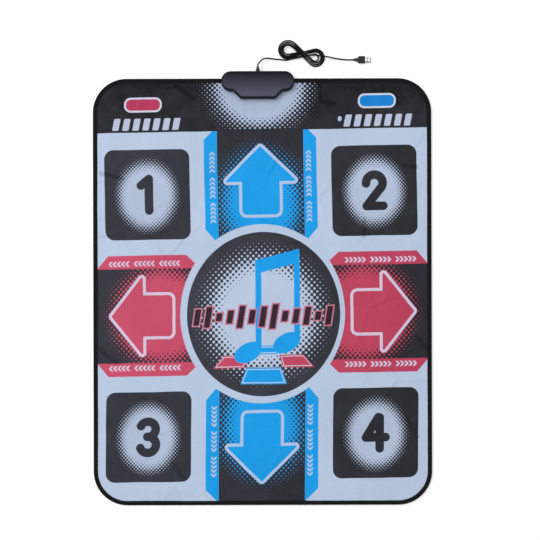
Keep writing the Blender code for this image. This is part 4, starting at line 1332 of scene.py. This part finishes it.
one = bars(((4.0, 34.0), (4.0, -34.0)), ((4.0, 34.0), (-13.0, 20.0)))
two = arc(0.0, 16.0, 18.0).most((-(digit_b - 16.0)).least(-(digit_a - 4.0)))
two = two.least(bars(
    ((-18.0, 16.0), (-18.0, 15.0)),
    ((12.5, 3.5), (-17.0, -34.0)),
    ((-17.0, -34.0), (19.0, -34.0)),
))
three = arc(-1.0, 17.5, 16.5).least(arc(-1.0, -16.5, 17.5))
three = three.most((-(digit_a + 2.0)).least(-(abs(digit_b - 0.5) - 23.5)))
for end_a, end_b in ((-15.9, 24.5), (-17.2, -23.0), (-2.5, 1.0)):
    three = three.least(far(digit_a - end_a, digit_b - end_b) - DIGIT_LINE)
four = bars(
    ((6.0, 34.0), (-21.0, -10.0)),
    ((-21.0, -10.0), (22.0, -10.0)),
    ((9.0, 33.0), (9.0, -34.0)),
)
print_over(panel_ink, one.inside() * left_side * upper_side)
print_over(panel_ink, two.inside() * right_side * upper_side)
print_over(panel_ink, three.inside() * left_side * lower_side)
print_over(panel_ink, four.inside() * right_side * lower_side)

# The dark band under the control box, with its fan of dots, and the two round-ended keys
band = -(up - BAND_EDGE)
print_over(band_ink, band.inside())
FAN_UP = 496.0
FAN_DOTS_FROM = 404.7
fan_share = glow_share(far(across, (up - FAN_UP) * 1.115), 73.0, 157.0, 2.2)
fan = dot_screen(across, up - FAN_DOTS_FROM, FAN_DOTS, fan_share)
print_over(FAN_INK, fan * (band + 3.2).inside())

KEY_UP = 459.5
KEY_PRINT = (41.0, 16.2, 14.5)
KEY_LINE = 4.1
key = box_shape(side_across - KEY_AT[0] * 1000, up - KEY_UP, *KEY_PRINT)
print_over(OUTLINE_INK, key.inside())
key_ink = blend_colours(cloth_tree, (0.475, 0.036, 0.104), (0.001, 0.222, 0.64), right_side.socket)
print_over(key_ink, (key + KEY_LINE).inside())

# Under each key a row of bold slanted bars, and by the right one a small dot
SLANT_AT = (252.0, 417.0)
SLANT_HALF = (76.0, 12.9)
SLANT_PITCH = 10.9
SLANT_GAP = 6.9
slant_a = across - across.sign() * SLANT_AT[0] - 5.0 - (up - SLANT_AT[1] - 0.5) * 0.20
slants = (slant_a.step("PINGPONG", SLANT_PITCH) - SLANT_GAP).most(abs(up - SLANT_AT[1]) - SLANT_HALF[1], 4.0)
small_dot = box_shape(across - 174.0, up - 421.5, 4.0, 5.3, 3.6)
slants = slants.most(abs(slant_a) - SLANT_HALF[0]).least(small_dot)
print_over(SLANT_INK, slants.inside())

# The pale ring, the dark disc in it, and the disc's own picture
ring = far(across * (1 / RING_OUTER[0]), up * (1 / RING_OUTER[1])) - 1.0
print_over(PALE_INK, (ring * 186.0).inside())
disc = far((across - 2.1) * (1 / DISC[0]), (up + 0.9) * (1 / DISC[1])) - 1.0
disc = disc * 173.0
print_over(disc_ink, disc.inside())
disc_share = glow_share(far(across - 0.7, (up + 1.6) * 0.95), 79.5, 167.0, 1.5)
print_over(PALE_INK, dot_screen(across, up, DISC_DOTS, disc_share) * (disc + 4.0).inside())

# Two red tiles aside, a blue one in front and a blue one behind, each with a pale line inside its edge
tile_side = abs(across - 2.1)
red_drop, front_drop, back_drop = up + 104.0, up + 135.5, up + 79.0
red_tile = abs(red_drop) - 14.0
red_tile = red_tile.most(tile_side + red_drop * 0.85 - 98.5).most(-(tile_side + red_drop * 0.3 - 38.0))
front_tile = (abs(front_drop) - 18.0).most(tile_side + front_drop * 0.37 - 44.5)
back_tile = (abs(back_drop) - 9.5).most(tile_side + back_drop * 0.35 - 27.0)
blue_tiles = front_tile.least(back_tile)
print_over(red_ink, red_tile.inside())
print_over(BLUE_INK, blue_tiles.inside())
print_over(OUTLINE_INK, (abs(red_tile.least(blue_tiles) + 3.4) - 0.85).inside())

# Two joined notes stand on the tiles
note_a = across - 2.0
NOTE_LEAN = (0.88, 0.47)
NOTE_HEAD = (32.0, 20.0)
NOTE_STEM = (6.5, 94.0, 2.0)
NOTE_BEAM = (48.5, 15.0, 2.0)


def note_head(centre_a, centre_b):
    """Distance to a leaning oval."""
    from_a, from_b = note_a - centre_a, up - centre_b
    long_way = from_a * (NOTE_LEAN[0] / NOTE_HEAD[0]) + from_b * (NOTE_LEAN[1] / NOTE_HEAD[0])
    short_way = from_b * (NOTE_LEAN[0] / NOTE_HEAD[1]) - from_a * (NOTE_LEAN[1] / NOTE_HEAD[1])
    return (far(long_way, short_way) - 1.0) * 24.0


notes = note_head(-34.0, -84.0).least(note_head(50.0, -64.0))
for stem_a, stem_b in ((-11.0, 14.0), (73.0, 34.0)):
    notes = notes.least(box_shape(note_a - stem_a, up - stem_b, *NOTE_STEM))
beam_b = up - note_a * 0.24 - 106.0
notes = notes.least(box_shape(note_a - 31.0, beam_b, *NOTE_BEAM))
print_over(BLUE_INK, notes.inside())

# Across the notes a row of dark level bars in pink outline
LEVEL_PITCH = 24.0
LEVEL_HALF_W = 9.4
LEVEL_LINE = 3.0
level_b = up + 6.0
level_a = across - 1.0 + level_b * -0.16
level_turn = (level_a * (1 / LEVEL_PITCH) + 0.5).step("FLOOR")
level_more = (level_turn * 0.83).step("COSINE") * 4.0
level_half = (level_turn * 2.13).step("SINE") * 7.0 + level_more + 21.0
from_level = abs((level_a + LEVEL_PITCH / 2).step("FLOORED_MODULO", LEVEL_PITCH) - LEVEL_PITCH / 2)
levels = (from_level - LEVEL_HALF_W).most(abs(level_b) - level_half, 3.0).most(abs(level_a) - 156.0)
print_over((0.58, 0.20, 0.29), levels.inside())
print_over((0.030, 0.011, 0.022), (levels + LEVEL_LINE).inside())

# What the cloth itself adds: threads, painted shade between the threads, a faint mottle in the ink, dust,
# and fine creases
weave = place_group(cloth_tree, plain_weave, Threads_per_Metre=1500.0)
cloth_mottle = place_group(cloth_tree, moulded_grain, Grain_Scale=420.0, Mottle_Scale=9.0)
cloth_dust = place_group(cloth_tree, settled_dust, Speck_Scale=700.0, Amount=0.012)
thread_shade_and_mottle = math_node(cloth_tree, "MULTIPLY", weave.outputs["Gap Shade"], 0.07)
thread_shade_and_mottle = math_node(cloth_tree, "MULTIPLY_ADD", cloth_mottle.outputs["Mottle"], 0.07, thread_shade_and_mottle)
face = blend_colours(cloth_tree, face, (0.004, 0.004, 0.006), thread_shade_and_mottle)
face = blend_colours(cloth_tree, face, (0.5, 0.5, 0.5), cloth_dust.outputs["Dust"])
cloth_tree.links.new(face, cloth_shader.inputs["Base Color"])
cloth_gloss = range_node(cloth_tree, cloth_mottle.outputs["Mottle"], 0.0, 1.0, 0.46, 0.60)
cloth_tree.links.new(cloth_gloss, cloth_shader.inputs["Roughness"])

# The plainest sharp creases: start and end
CREASES = [
    ((-349.0, 313.0), (-300.0, 300.0)),
    ((309.0, 318.0), (338.0, 314.0)),
    ((223.0, 203.0), (221.0, 166.0)),
    ((-197.0, -320.0), (-168.0, -358.0)),
    ((314.0, -234.0), (338.0, -274.0)),
    ((-365.0, -62.0), (-316.0, -101.0)),
    ((333.0, -53.0), (362.0, -90.0)),
    ((128.0, 510.0), (131.0, 462.0)),
    ((131.0, 462.0), (161.0, 454.0)),
    ((-183.0, 499.0), (-144.0, 471.0)),
]
kept_crease = strokes(across, up, 0.0, *CREASES).within(-1 / 7.0, 1.0).step("POWER", 1.6)
crease_cells = cloth_tree.nodes.new("ShaderNodeTexVoronoi")
crease_cells.feature = "DISTANCE_TO_EDGE"
crease_cells.inputs["Scale"].default_value = 11.0
wander = cloth_tree.nodes.new("ShaderNodeMixRGB")
wander.blend_type = "ADD"
wander.inputs["Fac"].default_value = 0.07
cloth_tree.links.new(cloth_spot, wander.inputs["Color1"])
wandering = cloth_tree.nodes.new("ShaderNodeTexNoise")
wandering.inputs["Scale"].default_value = 6.0
cloth_tree.links.new(cloth_spot, wandering.inputs["Vector"])
cloth_tree.links.new(wandering.outputs["Color"], wander.inputs["Color2"])
cloth_tree.links.new(wander.outputs["Color"], crease_cells.inputs["Vector"])
creased_here = range_node(cloth_tree, noise_node(cloth_tree, cloth_spot, 5.0, 2.0), 0.46, 0.62)
sharp_creases = range_node(cloth_tree, crease_cells.outputs["Distance"], 0.0, 0.075, 1.0, 0.0)
sharp_creases = math_node(cloth_tree, "MULTIPLY", sharp_creases, creased_here)
creased = raise_surface(cloth_tree, cloth_shader, kept_crease.socket, 0.0042)
creased = raise_surface(cloth_tree, cloth_shader, sharp_creases, 0.0017, under=creased)
creases = noise_node(cloth_tree, cloth_spot, 34.0, 4.0, 0.55)
creased = raise_surface(cloth_tree, cloth_shader, creases, 0.0026, under=creased)
raise_surface(cloth_tree, cloth_shader, weave.outputs["Height"], 0.00007, under=creased)

cover = cover_piece("cover", printed_cloth)
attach(cover, "mat")
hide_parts("cover_sheet")
for zone, (zone_x, zone_y, half_w, half_l, strip) in PRESS_ZONES.items():
    face_piece = cover_piece(f"{zone}_face", printed_cloth)
    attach(face_piece, zone)
    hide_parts(f"{zone}_cover")
    for label, way in zip(STRIP_SIDES, ((1, 0), (-1, 0), (0, 1), (0, -1))):
        strip_piece = cover_piece(f"{zone}_strip_{label}", printed_cloth)
        edge = (zone_x + way[0] * half_w, zone_y + way[1] * half_l, COVER_TOP)
        inner = (edge[0] - way[0] * strip, edge[1] - way[1] * strip, COVER_TOP)
        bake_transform(strip_piece)
cover_corners = flat_places[flat_faces[owner == "cover"]]
sides_a, sides_b = cover_corners[:, 1] - cover_corners[:, 0], cover_corners[:, 2] - cover_corners[:, 0]
cover_area = float(np.abs(sides_a[:, 0] * sides_b[:, 1] - sides_a[:, 1] * sides_b[:, 0]).sum() / 2)

# Edge tape
# A woven black tape folded over the edge of all the layers and sewn through them with one row of black
# thread. It puffs up a little between the stitches and the fold.

# Across the tape: how far in from the edge, and the height, round the outside and back along the inside
TAPE_SECTION = [
    (0.0100, 0.00945), (0.0099, 0.00990), (0.0092, 0.01012), (0.0080, 0.01002), (0.0073, 0.00992),
    (0.0066, 0.01004), (0.0054, 0.01038), (0.0038, 0.01052), (0.0022, 0.01030), (0.0009, 0.00960),
    (0.0002, 0.00830), (0.0000, 0.00620), (0.0000, 0.00400), (0.0002, 0.00210), (0.0009, 0.00080),
    (0.0022, 0.00022), (0.0038, 0.00005), (0.0054, 0.00012), (0.0066, 0.00034), (0.0073, 0.00042),
    (0.0080, 0.00034), (0.0092, 0.00012), (0.0099, 0.00030), (0.0100, 0.00070), (0.0096, 0.00080),
    (0.0014, 0.00100), (0.0009, 0.00520), (0.0014, 0.00930), (0.0096, 0.00940),
]
TAPE_STEP = 0.004
TAPE_FREE = 0.008
TAPE_SHIFT = 0.0004
TAPE_PUFF = 0.00022
TAPE_CROWN = (0.0045, 0.004)
RIB_PITCH = 0.0011
THREAD_PITCH = 0.0009
tape_path = np.array(outline_of_mat(0.0, TAPE_STEP))
tape_x, tape_y = tape_path.T
tape_run = np.roll(tape_path, -1, axis=0) - np.roll(tape_path, 1, axis=0)
tape_run /= np.linalg.norm(tape_run, axis=1)[:, None]
tape_in = np.c_[-tape_run[:, 1], tape_run[:, 0]]
tape_reach = run_along(tape_path)
tape_turns = 2 * math.pi * tape_reach / (tape_reach[-1] + TAPE_STEP)


def tape_wobble(turns, counts, phase):
    """A smooth uneven line round the tape, from -1 to 1."""
    total = sum(np.sin(turns * n + phase * (k + 1)) / (k + 1) for k, n in enumerate(counts))
    return total / sum(1 / (k + 1) for k in range(len(counts)))


tape_shift = TAPE_SHIFT * tape_wobble(tape_turns, (11, 23, 47, 90), 1.3)
tape_puff = TAPE_PUFF * tape_wobble(tape_turns, (31, 67, 130, 211), 2.1)
tape_verts = []
for inset, height in TAPE_SECTION:
    held = min(1.0, inset / TAPE_FREE)
    crown = max(0.0, 1 - abs(inset - TAPE_CROWN[0]) / TAPE_CROWN[1])
    inward = inset + tape_shift * held
    lift = tape_puff * crown * (1.0 if height > 0.005 else 0.0)
    tape_verts.append(np.c_[tape_x + tape_in[:, 0] * inward, tape_y + tape_in[:, 1] * inward, height + lift])
count = len(tape_path)
round_tape = np.append(tape_reach, tape_reach[-1] + TAPE_STEP)
across_tape = run_along(TAPE_SECTION + TAPE_SECTION[:1])
tape_faces, tape_corners = [], []
for row in range(len(TAPE_SECTION)):
    below = (row + 1) % len(TAPE_SECTION)
    for k in range(count):
        after = (k + 1) % count
        tape_faces.append((row * count + k, row * count + after, below * count + after, below * count + k))
        for step_k, step_row in ((0, 0), (1, 0), (1, 1), (0, 1)):
            tape_corners += [round_tape[k + step_k], across_tape[row + step_row]]
tape_mesh = bpy.data.meshes.new("edge_tape")
tape_mesh.from_pydata(np.concatenate(tape_verts).tolist(), [], tape_faces)
tape_mesh.polygons.foreach_set("use_smooth", np.ones(len(tape_faces), bool))
tape_mesh.uv_layers.new(name="tape").data.foreach_set("uv", tape_corners)
work = bmesh.new()
work.from_mesh(tape_mesh)
bmesh.ops.recalc_face_normals(work, faces=work.faces)
work.to_mesh(tape_mesh)
work.free()

woven_tape, tape_tree, tape_shader = new_finish("woven_tape", 0.78, specular=0.10)
tape_shader.inputs["Sheen Weight"].default_value = 0.03
tape_map = tape_tree.nodes.new("ShaderNodeUVMap")
tape_map.uv_map = "tape"
tape_place = parts_of(tape_tree, tape_map.outputs[0])
tape_waves = []
for axis, pitch in (("X", RIB_PITCH), ("Y", THREAD_PITCH)):
    turns = math_node(tape_tree, "MULTIPLY", tape_place[axis], 2 * math.pi / pitch)
    tape_waves.append(math_node(tape_tree, "SINE", turns))
rib_height = math_node(tape_tree, "ABSOLUTE", tape_waves[0])
crossed = math_node(tape_tree, "MULTIPLY", *tape_waves)
rib_height = math_node(tape_tree, "MULTIPLY_ADD", crossed, 0.35, rib_height)
tape_grain = place_group(tape_tree, moulded_grain, Grain_Scale=1500.0, Mottle_Scale=30.0)
tape_dust = place_group(tape_tree, settled_dust, Amount=0.02)
# Painted shade: the grooves between the ribs are darker and the rib tops lighter
tape_colour = blend_colours(tape_tree, (0.0012, 0.001, 0.0013), (0.005, 0.0045, 0.0055), rib_height)
tape_colour = blend_colours(tape_tree, tape_colour, (0.006, 0.0054, 0.0064), tape_grain.outputs["Mottle"])
tape_colour = blend_colours(tape_tree, tape_colour, (0.3, 0.29, 0.28), tape_dust.outputs["Dust"])
tape_tree.links.new(tape_colour, tape_shader.inputs["Base Color"])
tape_rough = range_node(tape_tree, tape_grain.outputs["Mottle"], 0.0, 1.0, 0.70, 0.88)
tape_tree.links.new(tape_rough, tape_shader.inputs["Roughness"])
tape_fuzz = raise_surface(tape_tree, tape_shader, tape_grain.outputs["Height"], 0.0001)
raise_surface(tape_tree, tape_shader, rib_height, 0.00022, under=tape_fuzz)
edge_tape = new_mesh_piece("edge_tape", tape_mesh, woven_tape)
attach(edge_tape, "mat")
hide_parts("edge_binding")

# Stitches
# One row of black thread round the tape, each stitch a short slack arc that sinks in at both ends, on the
# top and again underneath.

STITCH_PITCH = 0.0042
STITCH_L = 0.0031
STITCH_R = 0.00024
STITCH_IN = 0.0073
STITCH_SIDES = 5

# Along a stitch: share of its length, how far it bows out, and how thick it is
STITCH_BOW = [(-0.5, -0.4, 0.5), (-0.32, 0.35, 1.0), (0.32, 0.35, 1.0), (0.5, -0.4, 0.5)]
stitch_verts, stitch_faces = [], []


def add_stitch(middle, height, way):
    """One stitch round the thread's path, as rings of points with closed ends."""
    first = len(stitch_verts)
    for share, bow, size in STITCH_BOW:
        at = middle + share * STITCH_L
        x, y, in_x, in_y, shift = (
            float(np.interp(at, tape_reach, row)) for row in (tape_x, tape_y, *tape_in.T, tape_shift)
        )
        inset = STITCH_IN + shift * 0.91
        centre = Vector((x + in_x * inset, y + in_y * inset, height + way * bow * STITCH_R))
        for spoke in range(STITCH_SIDES):
            angle = 2 * math.pi * spoke / STITCH_SIDES
            side = Vector((in_x, in_y, 0.0)) * math.cos(angle) + Vector((0, 0, 1)) * math.sin(angle)
            stitch_verts.append(centre + side * STITCH_R * size)
    for row in range(len(STITCH_BOW) - 1):
        for k in range(STITCH_SIDES):
            here = first + row * STITCH_SIDES + k
            after = first + row * STITCH_SIDES + (k + 1) % STITCH_SIDES
            stitch_faces.append((here, after, after + STITCH_SIDES, here + STITCH_SIDES))
    stitch_faces.append([first + k for k in reversed(range(STITCH_SIDES))])
    stitch_faces.append([len(stitch_verts) - STITCH_SIDES + k for k in range(STITCH_SIDES)])


stitch_count = round(tape_reach[-1] / STITCH_PITCH)
for number in range(stitch_count):
    middle = (number + 0.5) * tape_reach[-1] / stitch_count
    add_stitch(middle, 0.00992, 1.0)
    add_stitch(middle, 0.00042, -1.0)
stitch_mesh = bpy.data.meshes.new("stitches")
stitch_mesh.from_pydata(stitch_verts, [], stitch_faces)
stitch_mesh.polygons.foreach_set("use_smooth", np.ones(len(stitch_faces), bool))
sewing_thread = moulded_plastic(
    "sewing_thread", (0.006, 0.0055, 0.006), (0.02, 0.019, 0.02), 0.55, 4200.0, 0.00008, 0.1
)
stitches = new_mesh_piece("stitches", stitch_mesh, sewing_thread)
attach(stitches, "mat")

# Grip backing
# A soft black sheet under everything that keeps the mat from sliding: a close-set pattern of raised
# rubber dots on a woven base, cut to lie inside the tape, with two holes for the screws of the box.

BACKING_INSET = 0.0103
BACKING_T = 0.0008
GRIP_PITCH = 0.0090
SCREW_HOLE_R = 0.0038
SHEET_ORDER = Vector((1.0, 0.618, 5000.0))
SCREW_HOLES = [(BOX_X - 0.060, BOX_REAR_Y - 0.0355), (BOX_X + 0.060, BOX_REAR_Y - 0.0355)]


def cut_sheet(name, outlines, low, high, material):
    """A flat sheet between two heights, cut along its outline and round its holes."""
    work = bmesh.new()
    edges = []
    for outline in outlines:
        ring = [work.verts.new((x, y, low)) for x, y in outline]
        edges += [work.edges.new((here, after)) for here, after in zip(ring, ring[1:] + ring[:1])]
    bmesh.ops.triangle_fill(work, use_beauty=True, edges=edges)
    made = bmesh.ops.extrude_face_region(work, geom=list(work.faces))
    lifted = [item for item in made["geom"] if isinstance(item, bmesh.types.BMVert)]
    bmesh.ops.translate(work, verts=lifted, vec=(0.0, 0.0, high - low))
    # The extrusion copies the faces in a different order each time
    work.verts.sort(key=lambda corner: corner.co.dot(SHEET_ORDER))
    work.faces.sort(key=lambda side: side.calc_center_median().dot(SHEET_ORDER))
    return piece_from(work, name, material)


grip_rubber, grip_tree, grip_shader = new_finish("grip_rubber", 0.8, specular=0.3)
grip_place = parts_of(grip_tree, object_place(grip_tree))
grip_waves = []
for axis in ("X", "Y"):
    turns = math_node(grip_tree, "MULTIPLY", grip_place[axis], 2 * math.pi / GRIP_PITCH)
    grip_waves.append(math_node(grip_tree, "COSINE", turns))
grip_dots = range_node(grip_tree, math_node(grip_tree, "MULTIPLY", *grip_waves), 0.45, 0.62)
grip_weave = place_group(grip_tree, plain_weave, Threads_per_Metre=1100.0)
grip_grain = place_group(grip_tree, moulded_grain, Grain_Scale=1600.0, Mottle_Scale=14.0)
grip_colour = (0.030, 0.030, 0.032)
# Painted shade in the gaps of the woven base, then a mottle and the darker rubber dots
for over, share in (
    ((0.012, 0.012, 0.013), grip_weave.outputs["Gap Shade"]),
    ((0.045, 0.045, 0.048), grip_grain.outputs["Mottle"]),
    ((0.005, 0.005, 0.0055), grip_dots),
):
    grip_colour = blend_colours(grip_tree, grip_colour, over, share)
grip_tree.links.new(grip_colour, grip_shader.inputs["Base Color"])
grip_tree.links.new(range_node(grip_tree, grip_dots, 0.0, 1.0, 0.85, 0.55), grip_shader.inputs["Roughness"])
grip_cloth = raise_surface(grip_tree, grip_shader, grip_weave.outputs["Height"], 0.00012)
raise_surface(grip_tree, grip_shader, grip_dots, 0.0009, under=grip_cloth)
grip_outlines = [outline_of_mat(BACKING_INSET, 0.012)]
for hole_x, hole_y in SCREW_HOLES:
    turns = [2 * math.pi * k / 20 for k in range(20)]
    grip_outlines.append(
        [(hole_x + SCREW_HOLE_R * math.cos(a), hole_y + SCREW_HOLE_R * math.sin(a)) for a in turns]
    )
grip_sheet = cut_sheet("grip_sheet", grip_outlines, 0.0, BACKING_T, grip_rubber)
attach(grip_sheet, "mat")
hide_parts("grip_backing")

# Inner layers
# Sheets of white foam with two clear polyester films between them. The films carry printed carbon
# contacts that meet through the windows of the spacer foam. None of this shows on a whole mat.


def foam_finish(name, light, dark, cells):
    """Open foam: round cells with painted shade in their middles, yellowed here and there."""
    material, tree, shader = new_finish(name, 0.95, specular=0.1)
    place = object_place(tree)
    bubbles = tree.nodes.new("ShaderNodeTexVoronoi")
    bubbles.inputs["Scale"].default_value = cells
    tree.links.new(place, bubbles.inputs["Vector"])
    depth = range_node(tree, bubbles.outputs["Distance"], 0.0, 0.7, 1.0, 0.0)
    patches = noise_node(tree, place, 18.0)
    colour = blend_colours(tree, light, dark, depth)
    yellowed = tuple(c * f for c, f in zip(light, (0.97, 0.92, 0.78)))
    colour = blend_colours(tree, colour, yellowed, patches)
    tree.links.new(colour, shader.inputs["Base Color"])
    raise_surface(tree, shader, bubbles.outputs["Distance"], 0.0004)
    return material


def film_finish(name, colour, line_colour, line_pitch):
    """Glossy film or board with printed lines that branch along it."""
    material, tree, shader = new_finish(name, 0.3)
    place = object_place(tree)
    lines = tree.nodes.new("ShaderNodeTexBrick")
    for label, number in (
        ("Scale", 1.0),
        ("Mortar Size", line_pitch * 0.08),
        ("Mortar Smooth", 0.1),
        ("Brick Width", line_pitch * 3.2),
        ("Row Height", line_pitch),
    ):
        lines.inputs[label].default_value = number
    tree.links.new(place, lines.inputs["Vector"])
    smudges = noise_node(tree, place, 35.0, 4.0)
    tinted = tuple(c * 0.88 for c in colour)
    surface = blend_colours(tree, colour, tinted, smudges)
    surface = blend_colours(tree, surface, line_colour, lines.outputs["Fac"])
    tree.links.new(surface, shader.inputs["Base Color"])
    tree.links.new(range_node(tree, smudges, 0.3, 0.7, 0.22, 0.42), shader.inputs["Roughness"])
    raise_surface(tree, shader, lines.outputs["Fac"], 0.00003)
    return material


white_foam = foam_finish("white_foam", (0.66, 0.66, 0.63), (0.36, 0.36, 0.34), 900.0)
contact_film = film_finish("contact_film", (0.60, 0.63, 0.60), (0.32, 0.33, 0.34), 0.012)
carbon_ink = moulded_plastic(
    "carbon_ink", (0.012, 0.012, 0.013), (0.03, 0.03, 0.032), 0.5, 1400.0, 0.00004, 0.0
)
refinish(white_foam, "base_foam", "spacer_foam", "top_foam", *[f"{zone}_foam" for zone in PRESS_ZONES])
refinish(contact_film, "lower_film", "upper_film", "flex_tail")
refinish(carbon_ink, *[f"{zone}_contact" for zone in PRESS_ZONES])

# Control box
# A flat housing in matte dark-grey ABS, moulded in two shells: two round lobes behind, and a tongue with
# slanted sides that reaches over the mat. The lid has a rounded rim and a slightly crowned top, and a
# fine seam runs round where the shells meet. Screws from below hold them and clamp the mat.

BOX_HALF_W = 0.0795
BOX_BODY_L = 0.0425
BOX_TONGUE_L = 0.0160
BOX_TONGUE_ROOT = 0.0545
BOX_TONGUE_TIP = 0.0375
BOX_LOBE_R = 0.0212
BOX_NOTCH = 0.0008
BOX_TOP = 0.0285
BOX_EDGE_R = 0.0047
BOX_CROWN = 0.0004
BOX_SEAM = 0.00015
LOBE_STEPS = 20


def outline_of_box(inset):
    """Edge of the box seen from above, held in by inset."""
    rear = BOX_REAR_Y - inset
    front = BOX_REAR_Y - BOX_BODY_L + inset
    tip = BOX_REAR_Y - BOX_BODY_L - BOX_TONGUE_L + inset
    lobe_r = BOX_LOBE_R - inset
    slant = math.atan2(BOX_TONGUE_L, BOX_TONGUE_ROOT - BOX_TONGUE_TIP)
    root_half = BOX_TONGUE_ROOT - inset * math.tan(slant / 2)
    tip_half = BOX_TONGUE_TIP - inset * math.tan(slant / 2)
    lobe_x = BOX_HALF_W - BOX_LOBE_R
    right = []
    for step in range(LOBE_STEPS + 1):
        angle = -math.pi / 2 + math.pi * step / LOBE_STEPS
        rise = rear - lobe_r if angle > 0 else front + lobe_r
        right.append((lobe_x + lobe_r * math.cos(angle), rise + lobe_r * math.sin(angle)))
    right = [(tip_half, tip), (root_half, front + BOX_NOTCH), *right]
    left = [(-x, y) for x, y in reversed(right)]
    return [(BOX_X + x, y) for x, y in right + left]


# Up the lid: how far in from the outline, and the height
lid_levels = [
    (0.0020, BOX_PARTING_Z + BOX_SEAM),
    (0.0006, BOX_PARTING_Z + BOX_SEAM),
    (0.0002, BOX_PARTING_Z + BOX_SEAM + 0.0003),
    (0.0, BOX_PARTING_Z + 0.0008),
    (0.0001, BOX_TOP - 0.0062),
]
for step in range(7):
    angle = math.pi / 2 * step / 6
    across_rim = 0.0001 + BOX_EDGE_R * (1 - math.cos(angle))
    lid_levels.append((across_rim, BOX_TOP - BOX_CROWN - BOX_EDGE_R + BOX_EDGE_R * math.sin(angle)))
lid_levels += [(0.0060, BOX_TOP - 0.00022), (0.0100, BOX_TOP - 0.00008), (0.0140, BOX_TOP)]
box_plastic = moulded_plastic(
    "box_plastic", (0.008, 0.008, 0.011), (0.011, 0.011, 0.015), 0.50, 1500.0, 0.00007, 0.02, 0.08
)
# Painted light: the upward faces are painted lighter than the sides, from nearly black at the back to
# lightest on the tongue, as light falls on them
box_tree = box_plastic.node_tree
box_shader = box_tree.nodes["Principled BSDF"]
box_place = parts_of(box_tree, object_place(box_tree))
box_facing = parts_of(box_tree, box_tree.nodes.new("ShaderNodeNewGeometry").outputs["Normal"])
painted_light_forward = range_node(box_tree, box_place["Y"], BOX_REAR_Y - 0.002, BOX_REAR_Y - BOX_BODY_L - BOX_TONGUE_L)
painted_light_top = blend_colours(box_tree, (0.001, 0.001, 0.006), (0.088, 0.091, 0.128), painted_light_forward)
# The upward faces are where the painted light lies
on_top = range_node(box_tree, box_facing["Z"], 0.90, 0.995)
box_colour = box_shader.inputs["Base Color"].links[0].from_socket
box_tree.links.new(blend_colours(box_tree, box_colour, painted_light_top, on_top), box_shader.inputs["Base Color"])
lid_rings = [[(x, y, z) for x, y in outline_of_box(inset)] for inset, z in lid_levels]
lid = loft("box_lid", lid_rings, box_plastic)
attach(lid, "mat")
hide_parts("box_top_shell")
refinish(box_plastic, "box_bottom_shell", "tail_clamp")
screw_steel = plated_metal("screw_steel", (0.55, 0.55, 0.57), 0.35)
refinish(screw_steel, "box_screw_1", "box_screw_2", "box_screw_3", "box_screw_4")

# Circuit board
# A small green board with one black chip, on four posts inside the box. The film tail comes up through
# the floor of the box and is pressed onto it by a clamp bar.

board_laminate = film_finish("board_laminate", (0.02, 0.15, 0.055), (0.06, 0.32, 0.12), 0.0024)
chip_resin = moulded_plastic(
    "chip_resin", (0.008, 0.008, 0.008), (0.016, 0.016, 0.016), 0.4, 2400.0, 0.00003, 0.0
)
refinish(board_laminate, "circuit_board")
refinish(chip_resin, "controller_chip")
